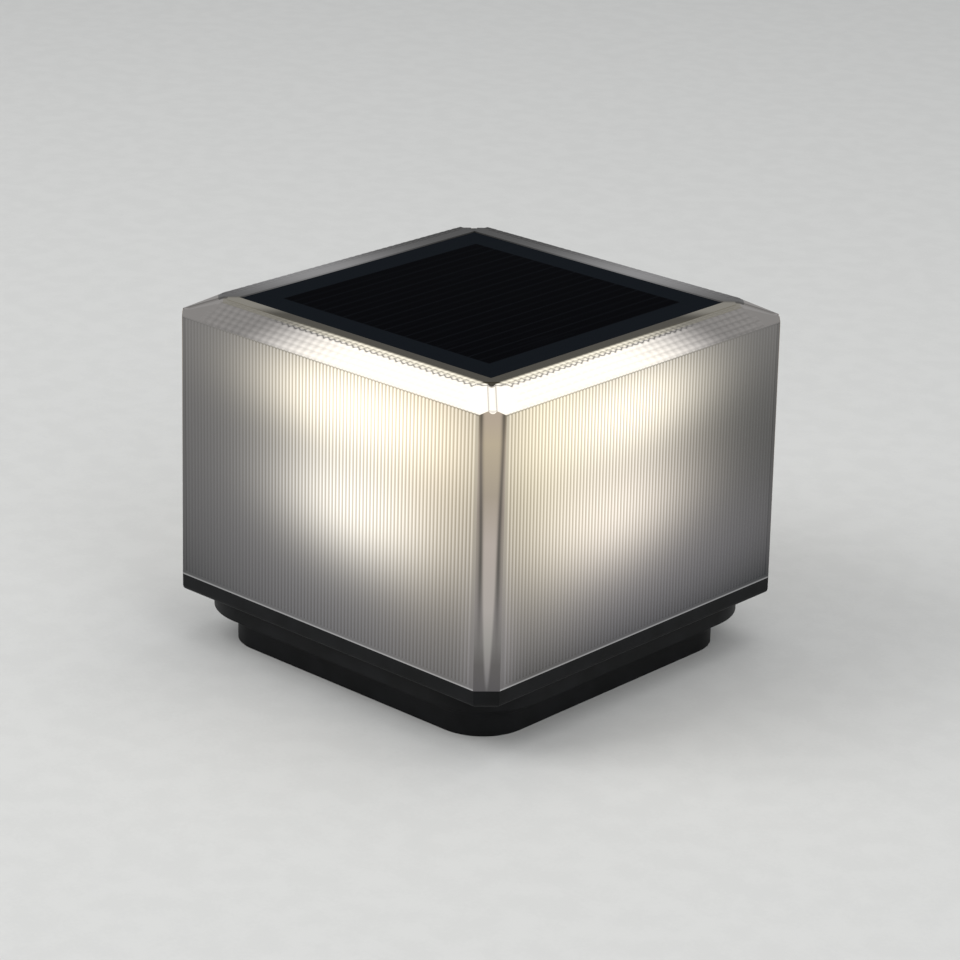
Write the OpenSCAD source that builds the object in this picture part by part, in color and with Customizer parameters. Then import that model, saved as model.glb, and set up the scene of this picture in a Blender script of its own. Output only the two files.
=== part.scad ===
// Solar light for the top of a wall or pillar.
// A square reeded diffuser stands on a black base plate, a solar panel is set flush in its
// bevelled top, and the whole head drops over a flared foot that is screwed to the masonry.
// Millimetres, +Z up. The origin is the middle of the foot's underside.

/* [Diffuser] */
// Width of the diffuser and the base plate across two flat sides
lamp_w = 200; // [190:1:215]
// Length that the corner cut takes off each side
corner_cut = 7.9; // [6.9:0.1:11]
// Height of the side wall, from its bottom edge to the start of the bevel
side_h = 124; // [110:1:140]
// Thickness of the moulded wall
shell_wall = 3; // [2.4:0.1:3.6]
// Distance from one reed to the next
reed_pitch = 2.3; // [2:0.05:4]
// Depth of the valley between two reeds
reed_depth = 0.5; // [0.2:0.05:0.8]
// Smooth strip between the last reed and the corner cut
reed_margin = 3; // [1:0.5:8]
// Smooth rim below the reeds
rim_h = 2; // [1:0.5:5]
// Smooth band above the reeds
brow_h = 0.6; // [0.4:0.1:3]
// Rise of the bevel from the side wall to the lip
bevel_h = 8.2; // [6:0.1:10]
// Width of the flat lip round the panel
lip_w = 9.9; // [8.5:0.1:11]
// Width of the facet on each hip of the bevel, where it meets the lip
hip_lip_w = 15; // [10:0.5:16]
// Width of that facet where it meets the corner cut
hip_end_w = 4.2; // [3.6:0.2:6]
// Diameter of the round groove along each hip
hip_groove_d = 3.4; // [2.4:0.1:3.6]
// Depth of that groove
hip_groove_h = 1.1; // [0.6:0.1:1.2]
// Diameter of a corner screw post where it leaves the top
post_top_d = 9.6; // [8:0.1:11]
// Diameter of a corner screw post at its lower end
post_end_d = 6; // [5:0.1:7]
// Thickness of the shelf that the panel is glued to
shelf_t = 2.5; // [2:0.1:4]

/* [Solar panel] */
// Width of the square panel
panel_w = 154.4; // [140:0.2:160]
// Gap between the panel and the pocket it sits in
panel_gap = 0.3; // [0.2:0.05:0.6]
// How far the lip stands above the glass
lip_proud = 0.4; // [0.2:0.1:1]
// Thickness of the glass
glass_t = 1.6; // [1:0.1:2.5]
// Thickness of the backing sheet
back_t = 1.4; // [1.2:0.1:2.5]
// Thickness of the glue foam
foam_t = 0.8; // [0.5:0.1:1.5]
// Width of the glue foam strip
foam_w = 9; // [5:0.5:15]
// Width of the square field of cells
cell_field_w = 127; // [110:1:132]
// Number of cell strips
cell_count = 10; // [6:1:14]
// Gap between two cell strips
cell_gap = 0.5; // [0.3:0.1:1]
// Thickness of a cell
cell_t = 0.3; // [0.2:0.05:0.4]
// Width of a tabbing ribbon
ribbon_w = 1.2; // [0.8:0.1:2]
// Thickness of a tabbing ribbon
ribbon_t = 0.15; // [0.1:0.05:0.2]

/* [Base plate] */
// Height of the black band under the diffuser
band_h = 8; // [6.5:0.5:12]
// Thickness of the band
band_wall = 3; // [2.5:0.1:4]
// Thickness of the deck that closes the diffuser
deck_t = 3; // [2.5:0.1:4]
// Rounding of the band's lower edge
edge_r = 2.3; // [1:0.1:2.4]
// Height of the rib that centres the diffuser
rib_h = 4; // [2:0.5:6]
// Thickness of that rib
rib_t = 2; // [1.5:0.1:3]
// Gap between the rib and the diffuser
rib_gap = 0.3; // [0.2:0.05:0.5]
// Width of the seal under the diffuser's edge
seal_w = 1.6; // [1:0.1:2]
// Thickness of the seal
seal_t = 1; // [0.6:0.1:1.5]
// Depth of the skirt below the deck
skirt_h = 10; // [8:0.5:10.5]
// Thickness of the skirt
skirt_t = 2.5; // [2:0.1:3]

/* [Foot] */
// How far the foot on the ground stands in from the side of the lamp
foot_inset = 15; // [13:0.5:20]
// Corner radius of the foot on the ground
foot_corner_r = 23; // [18:1:26]
// Height of the foot that shows below the lamp's black band
foot_h = 25; // [24:0.5:32]
// Height of the upright part next to the ground
kick_h = 8; // [4:0.5:9]
// Height of the upright band that shows at the top of the foot
flange_h = 8; // [7:0.5:9]
// Gap between that band and the lamp's black band
flange_gap = 1; // [0.75:0.25:3]
// Thickness of the foot's upright band
flange_wall = 5; // [4.4:0.1:5.6]
// Thickness of the flared wall
foot_wall = 3; // [2.5:0.1:4]
// Thickness of the floor
floor_t = 3; // [2.5:0.1:4]
// Distance between two anchor holes
anchor_spacing = 120; // [100:1:130]
// Diameter of an anchor hole
anchor_d = 5.5; // [4.5:0.1:6.5]
// Diameter of the raised ring round an anchor hole
anchor_boss_d = 14; // [11:0.5:18]
// Height of that ring above the floor
anchor_boss_h = 1.5; // [1:0.1:3]
// Diameter of a drain hole
drain_d = 5; // [4:0.5:7]
// Width of the foam strip in the underside
foot_seal_w = 6; // [4:0.5:8]
// Thickness of that strip
foot_seal_t = 1.5; // [1:0.1:2]
// Gap between the skirt and the foot
drop_gap = 0.3; // [0.2:0.05:0.5]
// Diameter of a locking screw
lock_d = 4; // [3:0.1:4.5]

/* [Light core] */
// Width of the square column that carries the lights
core_w = 60; // [57:1:66]
// Thickness of its wall
core_wall = 2; // [1.6:0.1:3]
// Gap between the column and the shelf above it
core_gap = 7; // [4:0.5:10]
// Width of a light board
strip_w = 18; // [16:1:24]
// Length of a light board
strip_len = 70; // [68:1:76]
// Thickness of a light board
strip_t = 1.2; // [1:0.1:1.6]
// Height of the lower pair of lights above the deck
led_low = 58; // [56:1:62]
// Height of the upper pair of lights above the deck
led_high = 103; // [97:1:104]
// Distance between the two lights of a pair
led_step = 8; // [7:0.5:9]
// Width of a light
led_w = 5; // [3:0.1:5.6]
// Height of a light above its board
led_t = 1.4; // [1:0.1:2]
// Diameter of the ears that hold the column down
ear_d = 10; // [9:0.5:11]

/* [Electronics] */
// Width of the control board
board_w = 50; // [48:1:52]
// Thickness of the control board
board_t = 1.6; // [1.2:0.1:2]
// Height of the posts under the control board
standoff_h = 8; // [7:0.5:12]
// Distance between the posts under the control board
standoff_step = 42; // [38:1:43]
// Diameter of those posts
standoff_d = 5; // [4.6:0.1:5.5]
// Diameter of a two-core lead
lead_d = 2; // [1.6:0.1:2.2]

/* [Battery] */
// Diameter of a battery cell
battery_d = 18.4; // [18:0.1:18.6]
// Length of a battery cell
battery_len = 65; // [64:0.5:66]
// Gap between the two cells
battery_gap = 1; // [0.5:0.1:2]
// Length of a contact spring in use
spring_len = 6; // [5:0.5:8]
// Thickness of a contact plate
contact_t = 0.4; // [0.3:0.1:0.6]
// Thickness of the wall round the cells
case_wall = 2; // [1.6:0.1:2.4]
// Thickness of the hatch under the cells
hatch_t = 2; // [1.6:0.1:2.4]
// Thickness of the hatch seal
hatch_seal_t = 1; // [0.6:0.1:1.2]
// Gap round the cells
battery_play = 0.2; // [0.1:0.05:0.4]

/* [Switch] */
// Distance from the middle of the lamp to the switch and the vent
switch_y = 52; // [50:1:56]
// Diameter of the switch's threaded barrel
barrel_d = 12; // [11:0.5:13]
// Diameter of the push button
button_d = 8; // [6:0.1:8.4]
// Travel of the push button
button_travel = 2; // [1:0.1:2.4]
// Gap between the button and its bore
button_gap = 0.1; // [0.05:0.01:0.1]
// Diameter of the vent's hole
vent_d = 8; // [6:0.5:9]

/* [Fasteners] */
// Shank diameter of the screws that hold the diffuser, the column and the hatch
screw_d = 3; // [2.5:0.1:3.2]
// Head diameter of those screws
screw_head_d = 5.6; // [5:0.1:6]
// Shank diameter of the screws in the boards
small_screw_d = 2; // [1.6:0.1:2.2]
// Gap between a shank and the part it passes through
hole_gap = 0.2; // [0.1:0.05:0.3]

/* [Hidden] */

black_plastic = "#17181b";
clear_plastic = "#f4ecd8";

$fn = 48;
root2 = sqrt(2);
// Longer than the whole light, for cuts that go right through
big = 600;
// Overlap that joins two shapes of one piece
touch = 0.02;
// Gap between two pieces that meet without a fit
thin = 0.05;

// Heights above the ground
deck_z = foot_h + band_h;
deck_under_z = deck_z - deck_t;
side_top_z = deck_z + side_h;
lip_z = side_top_z + bevel_h;
pocket_z = lip_z - lip_proud - glass_t - back_t - foam_t;
shelf_z = pocket_z - shelf_t;
flange_z = foot_h - flange_h;
skirt_z = deck_under_z - skirt_h;

// Half widths of the head
lamp_half = lamp_w / 2;
inner_half = lamp_half - shell_wall;
inner_cut = corner_cut - shell_wall * (2 - root2);
pocket_half = panel_w / 2 + panel_gap;
lip_half = pocket_half + lip_w;
bevel_slope = bevel_h / (lamp_half - lip_half);
corner_diag = (2 * lamp_half - corner_cut) / root2;

// Facet on each hip, by its distance from the middle along the diagonal and its height
hip_start = root2 * lip_half - hip_lip_w / 2;
hip_end_z = side_top_z + bevel_slope * (lamp_half - (corner_diag + hip_end_w / 2) / root2);
hip_fall = atan((lip_z - hip_end_z) / (corner_diag - hip_start));

// Reeds on one side of the diffuser
reed_field = lamp_w - 2 * corner_cut - 2 * reed_margin;
reed_count = floor(reed_field / reed_pitch);
reed_steps = 4;

// Corner screw posts stand against the inside of the corner cut
post_wall_gap = 0.4;
post_at = (corner_diag - shell_wall - post_end_d / 2 - post_wall_gap) / root2;
post_grip = 10;
post_pilot_h = post_grip + 3;

// Half widths of the foot; every outline shares the same corner centres
foot_half = lamp_half - foot_inset;
corner_at = foot_half - foot_corner_r;
flange_half = lamp_half - band_wall - flange_gap;
skirt_half = flange_half - flange_wall - drop_gap;
cove_w = flange_half - foot_half;
cove_h = flange_z - kick_h;
lock_z = foot_h - flange_h / 2;
lock_turns = [90, 180];
lock_len = flange_wall + drop_gap - 0.2;
lock_hex_d = lock_d * 0.55;
lock_hex_depth = 2;

// Battery case
cell_pitch = battery_d + battery_gap;
lead_room = 2.4;
cell_under = 0.8;
battery_z = deck_under_z - battery_d / 2 - lead_room;
case_in_x = battery_len + spring_len + 2 * contact_t + battery_play;
case_in_y = cell_pitch + battery_d + 2 * battery_play;
case_x = case_in_x + 2 * case_wall;
case_y = case_in_y + 2 * case_wall;
case_z = battery_z - battery_d / 2 - cell_under;
hatch_seal_z = case_z - hatch_seal_t;
hatch_z = hatch_seal_z - hatch_t;
screw_boss_d = screw_d + 4;
hatch_screw_x = case_x / 2 + screw_boss_d / 2 - 0.5;
battery_x = (spring_len - battery_play) / 2;
contact_x = case_in_x / 2 - touch - contact_t;
spring_turns = 3;
contact_w = 12;
spring_wire_d = 0.8;
spring_d = 8;
cell_edge = 0.8;
cell_tip_d = 5.6;
cell_tip_h = 1.2;
hatch_rib_x = 20;
hatch_rib_w = 3;
hatch_rib_gap = 0.5;
hatch_grip = 8;

// Light core
core_half = core_w / 2;
core_z = shelf_z - core_gap;
ear_at = core_half + screw_head_d / 2 + hole_gap;
ear_h = 3;
ear_boss_h = 6;
ear_grip = 4;
led_mid = (led_low + led_high) / 2;
strip_low_z = deck_z + led_mid - strip_len / 2;
strip_high_z = strip_low_z + strip_len;
strip_screw_inset = 3.5;
lead_hole_d = lead_d + 3;
lead_hole_z = strip_low_z + 10;
panel_hole_d = lead_hole_d + 3;
light_lead_x = 5;
notch_w = 12;
notch_h = 7;

// Control board
board_z = deck_z + standoff_h;
board_top_z = board_z + board_t;
board_screw_grip = 4;
socket = [5, 4, 5];
socket_y = -15;
socket_top_z = board_top_z + socket[2];
panel_socket_x = -6;
charge_chip = [7, 5, 1.6];
switch_chip = [5, 4, 1.5];
small_chip = [4, 3, 1.2];
chip_at = 5;
chip_low_at = 4;
capacitor_d = 6;
capacitor_h = 7;

// Switch
switch_seal_t = 1;
switch_flange_d = barrel_d + 5;
switch_flange_z = deck_z + switch_seal_t;
switch_flange_t = 2;
switch_box_w = 14;
switch_box_h = 10;
barrel_low_z = deck_under_z - 6;
nut_t = 3;
collar_d = button_d + 2.4;
collar_t = 1.5;
collar_z = switch_flange_z + 1;
chamber_h = collar_t + button_travel + 0.3;
button_proud = 1.5;
button_crown = 1.4;
button_low_z = barrel_low_z - button_travel - button_proud;
terminal = [1.6, 3, 3];
terminal_x = 2.5;
switch_box_z = switch_flange_z + switch_flange_t;
terminal_z = switch_box_z + switch_box_h;

// Vent and grommet
vent_cap_d = vent_d + 4;
vent_cap_t = 3;
vent_slot_w = 1.2;
vent_slot_h = 1;
vent_proud = 1.5;
grommet_lip_w = 1.5;
grommet_lip_t = 1;
grommet_d = 2 * lead_d + 4;
grommet_bore_d = 2 * lead_d + 0.6;

// Fasteners
pilot_d = screw_d - 0.5;
small_pilot_d = small_screw_d - 0.4;
head_t = 2;
small_head_d = small_screw_d * 1.9;
small_head_t = 1.2;
drive_share = 0.27;
drive_depth = 0.9;
screw_tip = 0.5;

// Single wires of the leads
wire_d = lead_d - 0.4;
thin_wire_d = lead_d - 0.6;

// Outlines

module cut_square(half, cut) {
    polygon([for (s = [0:3]) each
        [for (p = [[-half + cut, -half], [half - cut, -half]]) turn(p, 90 * s)]]);
}

function turn(p, a) = [p[0] * cos(a) - p[1] * sin(a), p[0] * sin(a) + p[1] * cos(a)];

// One side of the reeded outline, from left corner cut to right corner cut
function reed_crest(u) = 4 * u * (1 - u);
function reeded_side() = let (field = reed_count * reed_pitch, half = lamp_half - touch) concat(
    [[-lamp_half + corner_cut, -half], [-field / 2, -half]],
    [for (i = [0:reed_count - 1], k = [0:reed_steps - 1])
        [(i + k / reed_steps) * reed_pitch - field / 2,
         -half + reed_depth * (1 - reed_crest(k / reed_steps))]],
    [[field / 2, -half + reed_depth], [field / 2, -half], [lamp_half - corner_cut, -half]]);

module reeded_square() {
    polygon([for (s = [0:3]) each [for (p = reeded_side()) turn(p, 90 * s)]]);
}

// A band of a cut square between two heights
module cut_block(half, cut, low, high) {
    translate([0, 0, low])
        linear_extrude(high - low) cut_square(half, cut);
}

// Space between the two slopes of a profile of [half width, height] points, on all four sides
module four_slopes(profile) {
    outline = concat(profile, [for (i = [len(profile) - 1:-1:0]) [-profile[i][0], profile[i][1]]]);
    intersection() {
        rotate([90, 0, 0]) linear_extrude(big, center = true) polygon(outline);
        rotate([90, 0, 90]) linear_extrude(big, center = true) polygon(outline);
    }
}

// Solid of a round-cornered square whose half width changes with height
module soft_block(profile) {
    outline = concat(
        [for (p = profile) [corner_at + p[0], p[1]]],
        [for (i = [len(profile) - 1:-1:0]) [-corner_at - profile[i][0], profile[i][1]]]);
    last = len(profile) - 1;
    turned = concat([[0, profile[0][1]]], profile, [[0, profile[last][1]]]);
    for (a = [0, 90])
        rotate([90, 0, a])
            linear_extrude(2 * corner_at, center = true) polygon(outline);
    for (x = [-1, 1], y = [-1, 1])
        translate([x * corner_at, y * corner_at, 0])
            rotate_extrude() polygon(turned);
}

module soft_ring(outer_half, inner_half, low, high) {
    difference() {
        soft_block([[outer_half - corner_at, low], [outer_half - corner_at, high]]);
        soft_block([[inner_half - corner_at, low - 1], [inner_half - corner_at, high + 1]]);
    }
}

module square_ring(outer, inner, low, high) {
    translate([0, 0, low])
        linear_extrude(high - low)
            difference() {
                square(outer, center = true);
                square(inner, center = true);
            }
}

module four_corners(at) {
    for (x = [-1, 1], y = [-1, 1])
        translate([x * at, y * at, 0])
            children();
}

// Pan-head screw with a cross recess; the underside of its head is at the origin
module pan_screw(shank_d, head_d, head_height, length) {
    difference() {
        rotate_extrude()
            polygon(concat(
                [[0, -length], [shank_d / 2 - screw_tip, -length], [shank_d / 2, -length + screw_tip],
                 [shank_d / 2, 0], [head_d / 2, 0], [head_d / 2, head_height * 0.4]],
                [for (a = [20:20:80]) [head_d / 2 * cos(a), head_height * (0.4 + 0.6 * sin(a))]],
                [[0, head_height]]));
        for (a = [0, 90])
            rotate([0, 0, a])
                translate([0, 0, head_height - drive_depth / 2 + 0.1])
                    cube([head_d * 0.55, drive_share * shank_d, drive_depth + 0.2], center = true);
    }
}

// Swept leads

function unit(v) = v / norm(v);
function heading(p, i) = unit(p[min(i + 1, len(p) - 1)] - p[max(i - 1, 0)]);
function ring(p, i, r, n, side) =
    let (t = heading(p, i), u = unit(cross(side, t)), v = cross(t, u))
    [for (k = [0:n - 1]) p[i] + r * (cos(360 * k / n) * u + sin(360 * k / n) * v)];

// Curve through every point of a list, with steps short pieces between two points.
// The first and last stretches stay straight, so that a lead meets its seat squarely.
function between(a, b, c, d, t) =
    0.5 * ((2 * b) + (c - a) * t + (2 * a - 5 * b + 4 * c - d) * t * t
        + (3 * b - a - 3 * c + d) * t * t * t);
function smooth(p, steps) = let (n = len(p)) concat(
    [p[0]],
    [for (i = [1:n - 3], k = [0:steps - 1]) between(p[i - 1], p[i], p[i + 1], p[i + 2], k / steps)],
    [p[n - 2], p[n - 1]]);

module tube_along(path, d, sides, side) {
    n = len(path);
    polyhedron(
        points = [for (i = [0:n - 1]) each ring(path, i, d / 2, sides, side)],
        faces = concat(
            [[for (k = [0:sides - 1]) k]],
            [for (i = [0:n - 2], k = [0:sides - 1])
                let (a = i * sides + k, b = i * sides + (k + 1) % sides)
                each [[a, a + sides, b + sides], [a, b + sides, b]]],
            [[for (k = [sides - 1:-1:0]) (n - 1) * sides + k]]));
}

// Foot

function cove_points(in) = [for (a = [0:10:90])
    let (x = flange_half - (cove_w + in) * cos(a) - corner_at, z = kick_h + (cove_h + in) * sin(a))
    if (x < flange_half - flange_wall - corner_at || in == 0) [x, z]];

module foot_outside() {
    seat = [flange_half - corner_at, deck_under_z];
    soft_block(concat([[foot_corner_r, 0]], cove_points(0), [seat]));
}

module foot_inside() {
    top = flange_half - flange_wall - corner_at;
    start = foot_corner_r - foot_wall;
    reach = cove_w + foot_wall;
    rise = (cove_h + foot_wall) * sqrt(1 - pow(flange_wall / reach, 2));
    soft_block(concat(
        [[start, floor_t]], cove_points(foot_wall), [[top, kick_h + rise], [top, deck_z]]));
}

foot_ring_half = foot_half - foot_wall;
module mounting_foot() {
    color(black_plastic)
    difference() {
        union() {
            difference() {
                foot_outside();
                foot_inside();
            }
            four_corners(anchor_spacing / 2)
                cylinder(d = anchor_boss_d, h = floor_t + anchor_boss_h);
        }
        four_corners(anchor_spacing / 2)
            translate([0, 0, -1]) cylinder(d = anchor_d, h = foot_h);
        for (a = [0:90:270])
            rotate([0, 0, a])
                translate([anchor_spacing / 2, 0, -1]) cylinder(d = drain_d, h = foot_h);
        soft_ring(foot_ring_half, foot_ring_half - foot_seal_w, -1, foot_seal_t);
        for (a = lock_turns)
            rotate([0, 0, a])
                translate([skirt_half, 0, lock_z])
                    rotate([0, 90, 0]) cylinder(d = lock_d + 2 * thin, h = 2 * flange_wall);
    }
}

module foot_seal() {
    color("#2a2b2d")
    soft_ring(foot_ring_half, foot_ring_half - foot_seal_w, 0, foot_seal_t);
}

module lock_screws() {
    color("#8d8f92")
    for (a = lock_turns)
        rotate([0, 0, a])
            translate([skirt_half + thin, 0, lock_z])
                rotate([0, 90, 0])
                    difference() {
                        cylinder(d = lock_d, h = lock_len);
                        translate([0, 0, lock_len - lock_hex_depth])
                            cylinder(d = lock_hex_d, h = 2 * lock_hex_depth, $fn = 6);
                    }
}

// Base plate

function rounded_edge(half) = concat(
    [for (a = [0:22.5:90]) [half - edge_r * (1 - sin(a)), foot_h + edge_r * (1 - cos(a))]],
    [[half, deck_z]]);

module base_outside() {
    intersection() {
        four_slopes(rounded_edge(lamp_half));
        rotate([0, 0, 45]) four_slopes(rounded_edge(corner_diag));
    }
}

module centring_rib() {
    half = inner_half - rib_gap;
    cut = inner_cut + rib_gap * (2 - root2);
    difference() {
        cut_block(half, cut, deck_z - touch, deck_z + rib_h);
        cut_block(half - rib_t, cut, deck_z - 1, deck_z + rib_h + 1);
        four_corners(post_at)
            cylinder(d = post_end_d + 4 * rib_t, h = big);
    }
}

module battery_case() {
    translate([-case_x / 2, -case_y / 2, case_z])
        cube([case_x, case_y, deck_under_z - case_z + touch]);
    for (s = [-1, 1])
        translate([s * hatch_screw_x, 0, hatch_seal_z])
            cylinder(d = screw_boss_d, h = deck_under_z - hatch_seal_z + touch);
}

module base_plate() {
    color(black_plastic)
    difference() {
        union() {
            difference() {
                base_outside();
                cut_block(lamp_half - band_wall, inner_cut, foot_h - 1, deck_under_z);
            }
            centring_rib();
            soft_ring(skirt_half, skirt_half - skirt_t, skirt_z, deck_under_z + touch);
            battery_case();
            four_corners(standoff_step / 2)
                translate([0, 0, deck_z - touch]) cylinder(d = standoff_d, h = standoff_h + touch);
            four_corners(ear_at)
                translate([0, 0, deck_under_z - ear_boss_h])
                    cylinder(d = screw_boss_d, h = ear_boss_h + touch);
        }
        translate([0, 0, (case_z + deck_under_z) / 2 - 1])
            cube([case_in_x, case_in_y, deck_under_z - case_z + 2], center = true);
        seal_groove();
        four_corners(post_at)
            translate([0, 0, foot_h]) cylinder(d = screw_d + 2 * hole_gap, h = 2 * band_h);
        four_corners(ear_at)
            translate([0, 0, deck_under_z - ear_boss_h + 1])
                cylinder(d = pilot_d, h = ear_boss_h + 2 * deck_t);
        four_corners(standoff_step / 2)
            translate([0, 0, board_z - board_screw_grip - 2])
                cylinder(d = small_pilot_d, h = standoff_h);
        for (s = [-1, 1])
            translate([s * hatch_screw_x, 0, hatch_seal_z - 1])
                cylinder(d = pilot_d, h = hatch_grip + 3);
        translate([0, switch_y, 0]) cylinder(d = barrel_d + 2 * hole_gap, h = big);
        translate([0, -switch_y, 0]) cylinder(d = vent_d, h = big);
        cylinder(d = grommet_d, h = big);
    }
}

seal_half = lamp_half - (shell_wall - seal_w) / 2;
seal_cut = corner_cut - (lamp_half - seal_half) * (2 - root2);
module seal_loop(low, high) {
    difference() {
        cut_block(seal_half, seal_cut, low, high);
        cut_block(seal_half - seal_w, seal_cut - seal_w * (2 - root2), low - 1, high + 1);
    }
}

module seal_groove() {
    seal_loop(deck_z - seal_t, deck_z + 1);
}

module diffuser_seal() {
    color("#5a5b5d")
    seal_loop(deck_z - seal_t, deck_z);
}

// Diffuser

module diffuser_outside() {
    intersection() {
        union() {
            cut_block(lamp_half, corner_cut, deck_z, deck_z + rim_h);
            translate([0, 0, deck_z + rim_h])
                linear_extrude(side_h - rim_h - brow_h) reeded_square();
            cut_block(lamp_half, corner_cut, side_top_z - brow_h, lip_z);
        }
        four_slopes([[lamp_half, deck_z], [lamp_half, side_top_z], [lip_half, lip_z]]);
        rotate([0, 0, 45])
            four_slopes([[corner_diag, deck_z], [corner_diag, hip_end_z], [hip_start, lip_z]]);
    }
}

// Round grooves that run down the hips
module hip_grooves() {
    for (a = [45:90:315])
        rotate([0, 0, a])
            translate([hip_start, 0, lip_z])
                rotate([0, 90 + hip_fall, 0])
                    translate([hip_groove_h - hip_groove_d / 2, 0, 0])
                        cylinder(d = hip_groove_d, h = 4 * (corner_diag - hip_start), center = true);
}

// Channels under the four sides of the lip, which keep the moulding at one wall thickness
module lip_channels() {
    outer = lip_half - shell_wall / 2;
    intersection() {
        square_ring(2 * outer, 2 * (pocket_half + shell_wall), shelf_z - 1, lip_z - shell_wall);
        rotate([0, 0, 45])
            cut_block(hip_start - shell_wall, shell_wall, shelf_z - 1, lip_z);
    }
}

module diffuser_inside() {
    drop = shell_wall * sqrt(1 + pow(bevel_slope, 2));
    edge_z = side_top_z + bevel_slope * shell_wall - drop;
    edge_run = (shelf_z - edge_z) / bevel_slope;
    difference() {
        intersection() {
            cut_block(inner_half, inner_cut, deck_z - 1, shelf_z);
            four_slopes([
                [inner_half, deck_z - 1], [inner_half, edge_z],
                [inner_half - edge_run, shelf_z]]);
        }
        four_corners(post_at)
            translate([0, 0, deck_z])
                cylinder(d1 = post_end_d, d2 = post_top_d, h = shelf_z - deck_z + 1);
    }
}

module diffuser() {
    color(clear_plastic)
    difference() {
        diffuser_outside();
        diffuser_inside();
        lip_channels();
        hip_grooves();
        translate([0, 0, pocket_z])
            linear_extrude(big) square(2 * pocket_half, center = true);
        cylinder(d = panel_hole_d, h = big);
        four_corners(post_at)
            translate([0, 0, deck_z - 1]) cylinder(d = pilot_d, h = post_pilot_h);
    }
}

module diffuser_screws() {
    color("#9a9c9f")
    four_corners(post_at)
        translate([0, 0, deck_under_z])
            rotate([180, 0, 0])
                pan_screw(pilot_d - thin, screw_head_d, head_t, deck_t + post_grip);
}

// Light core

module light_core() {
    color("#f2f2ee")
    difference() {
        union() {
            translate([0, 0, (deck_z + core_z) / 2])
                cube([core_w, core_w, core_z - deck_z], center = true);
            four_corners(ear_at)
                translate([0, 0, deck_z]) cylinder(d = ear_d, h = ear_h);
        }
        translate([0, 0, (deck_z + core_z) / 2 - core_wall])
            cube([core_w - 2 * core_wall, core_w - 2 * core_wall, core_z - deck_z], center = true);
        cylinder(d = panel_hole_d, h = big);
        four_corners(ear_at)
            cylinder(d = screw_d + 2 * hole_gap, h = big);
        for (a = [0:90:270])
            rotate([0, 0, a]) {
                translate([light_lead_x, 0, lead_hole_z])
                    rotate([90, 0, 0]) cylinder(d = lead_hole_d, h = big);
                for (z = [strip_low_z + strip_screw_inset, strip_high_z - strip_screw_inset])
                    translate([0, 0, z])
                        rotate([90, 0, 0]) cylinder(d = small_pilot_d, h = big);
            }
        translate([-notch_w / 2, core_half - 2 * core_wall, deck_z - 1])
            cube([notch_w, 4 * core_wall, notch_h + 1]);
    }
}

module core_screws() {
    color("#9a9c9f")
    four_corners(ear_at)
        translate([0, 0, deck_z + ear_h])
            pan_screw(pilot_d - thin, screw_head_d, head_t, ear_h + deck_t + ear_grip);
}

module on_each_face() {
    for (a = [0:90:270])
        rotate([0, 0, a])
            translate([0, -core_half, 0])
                children();
}

module light_boards() {
    color("#eef0ee")
    on_each_face()
        difference() {
            translate([-strip_w / 2, -strip_t, strip_low_z]) cube([strip_w, strip_t, strip_len]);
            for (z = [strip_low_z + strip_screw_inset, strip_high_z - strip_screw_inset])
                translate([0, strip_t, z])
                    rotate([90, 0, 0]) cylinder(d = small_screw_d + hole_gap, h = 3 * strip_t);
        }
}

module light_board_screws() {
    color("#9a9c9f")
    on_each_face()
        for (z = [strip_low_z + strip_screw_inset, strip_high_z - strip_screw_inset])
            translate([0, -strip_t, z])
                rotate([90, 0, 0])
                    pan_screw(small_pilot_d - thin, small_head_d, small_head_t, strip_t + core_wall + 1);
}

module leds() {
    color("#ffe9b0")
    on_each_face()
        for (z = [led_low, led_high], x = [-1, 1])
            translate([x * led_step / 2, -strip_t, deck_z + z])
                rotate([90, 0, 0]) {
                    translate([0, 0, led_t * 0.35])
                        cube([led_w, led_w, led_t * 0.7], center = true);
                    translate([0, 0, led_t * 0.7 - touch])
                        cylinder(d1 = led_w * 0.8, d2 = led_w * 0.6, h = led_t * 0.3 + touch);
                }
}

// Electronics

module control_board() {
    color("#1f5c38")
    difference() {
        translate([0, 0, board_z + board_t / 2]) cube([board_w, board_w, board_t], center = true);
        four_corners(standoff_step / 2)
            cylinder(d = small_screw_d + hole_gap, h = big);
    }
}

module control_board_screws() {
    color("#9a9c9f")
    four_corners(standoff_step / 2)
        translate([0, 0, board_top_z])
            pan_screw(small_pilot_d - thin, small_head_d, small_head_t, board_t + board_screw_grip);
}

module part_on_board(x, y, size) {
    translate([x - size[0] / 2, y - size[1] / 2, board_top_z]) cube(size);
}

module board_parts() {
    color("#26282b") {
        part_on_board(-chip_at, -chip_low_at, charge_chip);
        part_on_board(chip_at, chip_at, switch_chip);
        part_on_board(-chip_at, chip_at, small_chip);
    }
    color("#d9d6cc") {
        part_on_board(panel_socket_x, socket_y, socket);
        for (a = [0:90:270])
            rotate([0, 0, a])
                part_on_board(light_lead_x, socket_y, socket);
    }
    color("#3a3f46")
        translate([chip_at, -chip_low_at, board_top_z]) cylinder(d = capacitor_d, h = capacitor_h);
}

// Battery

module battery_cells() {
    r = battery_d / 2;
    half = battery_len / 2;
    shoulder = half - cell_tip_h;
    color("#3d6f9e")
    for (s = [-1, 1])
        translate([battery_x, s * cell_pitch / 2, battery_z])
            rotate([0, 90, 0])
                rotate_extrude()
                    polygon([
                        [0, -half], [r - cell_edge, -half], [r, cell_edge - half],
                        [r, shoulder - cell_edge], [r - cell_edge, shoulder],
                        [cell_tip_d / 2, shoulder], [cell_tip_d / 2, half], [0, half]]);
}

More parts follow.
